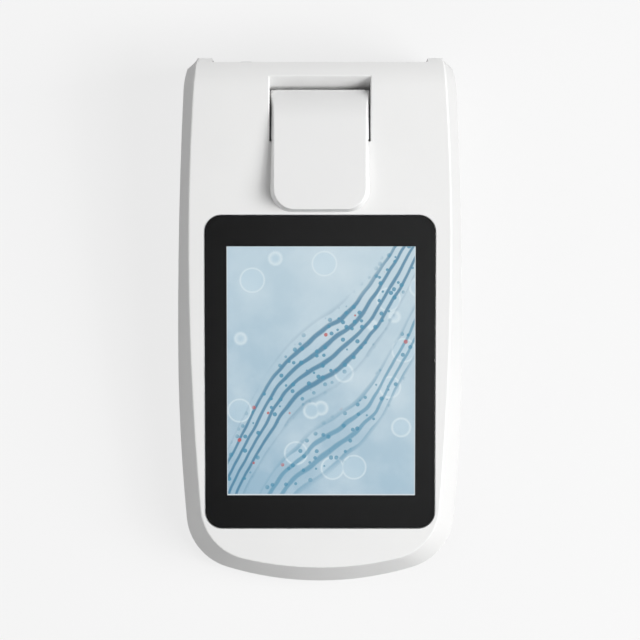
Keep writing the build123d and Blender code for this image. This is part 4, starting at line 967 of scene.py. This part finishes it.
# Power button: white moulded cap with a shallow dish for the finger tip. It slides in a
# square hole in the rear panel, on the stem of the switch.
button_front = 120.3 * mm
button_dish = ((0.5, 0.0), (0.45, -0.12), (0.45, -0.08), (0.4, -0.03))
button_white = moulded(
    "button_white_abs", (0.74, 0.75, 0.76), (0.79, 0.80, 0.80), (0.86, 0.86, 0.86),
    roughness=0.4, grain=0.0003, relief=0.2,
)


def on_button_front(polygon):
    """Whether a face is the cap's front."""
    return polygon.normal.y > 0.999 and polygon.center.y > button_front - 0.1 * mm


button_cap = merged_copy("power_button", "button_cap")
stepped(button_cap, on_button_front, button_dish)
finished(button_cap, button_white, "button", ["power_button"])

# The photographer's table: a wide pale floor, which is bright to the camera, duller to the
# object, as a table outside the light would be, and clear from below.
floor_size = 16.0
floor_glow = 0.76
floor_paints = (0.14, 0.14, 0.14), (0.16, 0.16, 0.16)
floor_bounce = (0.34, 0.34, 0.34)
put_down()
bpy.ops.mesh.primitive_circle_add(vertices=96, radius=floor_size / 2, fill_type="NGON")
table = started("table")
floor_paint, floor_tree, floor_shader = new_finish(
    "floor_paint", Roughness=0.9, Emission_Color=(1.0, 1.0, 1.0, 1.0)
)
floor_noise = shader_node(floor_tree, "TexNoise", {"Scale": 3.0, "Detail": 4.0})
floor_tone = blended(floor_tree, (floor_noise, "Fac"), *floor_paints)
to_camera = (shader_node(floor_tree, "LightPath"), "Is Camera Ray")
floor_colour = blended(floor_tree, to_camera, floor_bounce, floor_tone)
wire(*floor_colour, floor_shader, "Base Color")
wire(*reckon(floor_tree, "MULTIPLY", to_camera, floor_glow), floor_shader, "Emission Strength")
from_below = (shader_node(floor_tree, "NewGeometry"), "Backfacing")
wire(*reckon(floor_tree, "SUBTRACT", 1.0, from_below), floor_shader, "Alpha")
table.data.materials.append(floor_paint)

# Studio light: a pale room, brighter at the left and near the ground, two large soft lights
# at the right, and a faint narrow one whose reflection shades the glass.
room_left = 1.35
room_right = 0.10
room_top = 0.10
room_seen = (0.95, 0.95, 0.95)
case_middle = (0.0, 0.0, 0.03)
glass_right = (0.10, -0.02, 0.04)
glass_light_spread = radians(14.0)


def room():
    """The room's light, dimmer towards the right and overhead."""
    world = bpy.data.worlds.new("room")
    bpy.context.scene.world = world
    world.use_nodes = True
    tree = world.node_tree
    way = axes(tree, (shader_node(tree, "TexCoord"), "Generated"))
    side = ranged(
        tree, (way, "X"), From_Min=-1.0, From_Max=1.0, To_Min=room_left, To_Max=room_right
    )
    height = ranged(tree, (way, "Z"), To_Min=1.0, To_Max=room_top)
    shade = reckon(tree, "MULTIPLY", side, height)
    to_camera = (shader_node(tree, "LightPath"), "Is Camera Ray")
    wire(*blended(tree, to_camera, shade, room_seen), tree.nodes["Background"], "Color")


def soft_light(name, place, target, width, height, power):
    """A soft rectangular light that points at a spot."""
    lamp = bpy.data.lights.new(name, "AREA")
    lamp.shape = "RECTANGLE"
    lamp.size, lamp.size_y, lamp.energy = width, height, power
    holder = bpy.data.objects.new(name, lamp)
    holder.location = place
    holder.rotation_euler = (Vector(target) - Vector(place)).to_track_quat("-Z", "Y").to_euler()
    holder.visible_camera = False
    bpy.context.scene.collection.objects.link(holder)
    return holder


room()
soft_light("right_panel", (2.15, -0.05, 1.5), case_middle, 1.2, 1.2, 45.0)
soft_light("right_top", (1.15, -0.35, 1.45), case_middle, 0.8, 0.8, 17.6)
glass_light = soft_light("glass_light", (0.17, -0.32, 1.25), glass_right, 0.6, 0.7, 0.0045)
glass_light.data.spread = glass_light_spread

# Camera: straight above the case, at the distance and with the long lens that give the
# photograph's slight perspective.
camera_data = bpy.data.cameras.new("camera")
camera_data.lens = 215.1
camera_data.sensor_width = 36.0
camera_data.clip_end = 50.0
camera = bpy.data.objects.new("camera", camera_data)
camera.location = (0.0, 0.0013, 1.793)
bpy.context.scene.collection.objects.link(camera)
bpy.context.scene.camera = camera
bpy.context.scene.view_settings.view_transform = "Standard"
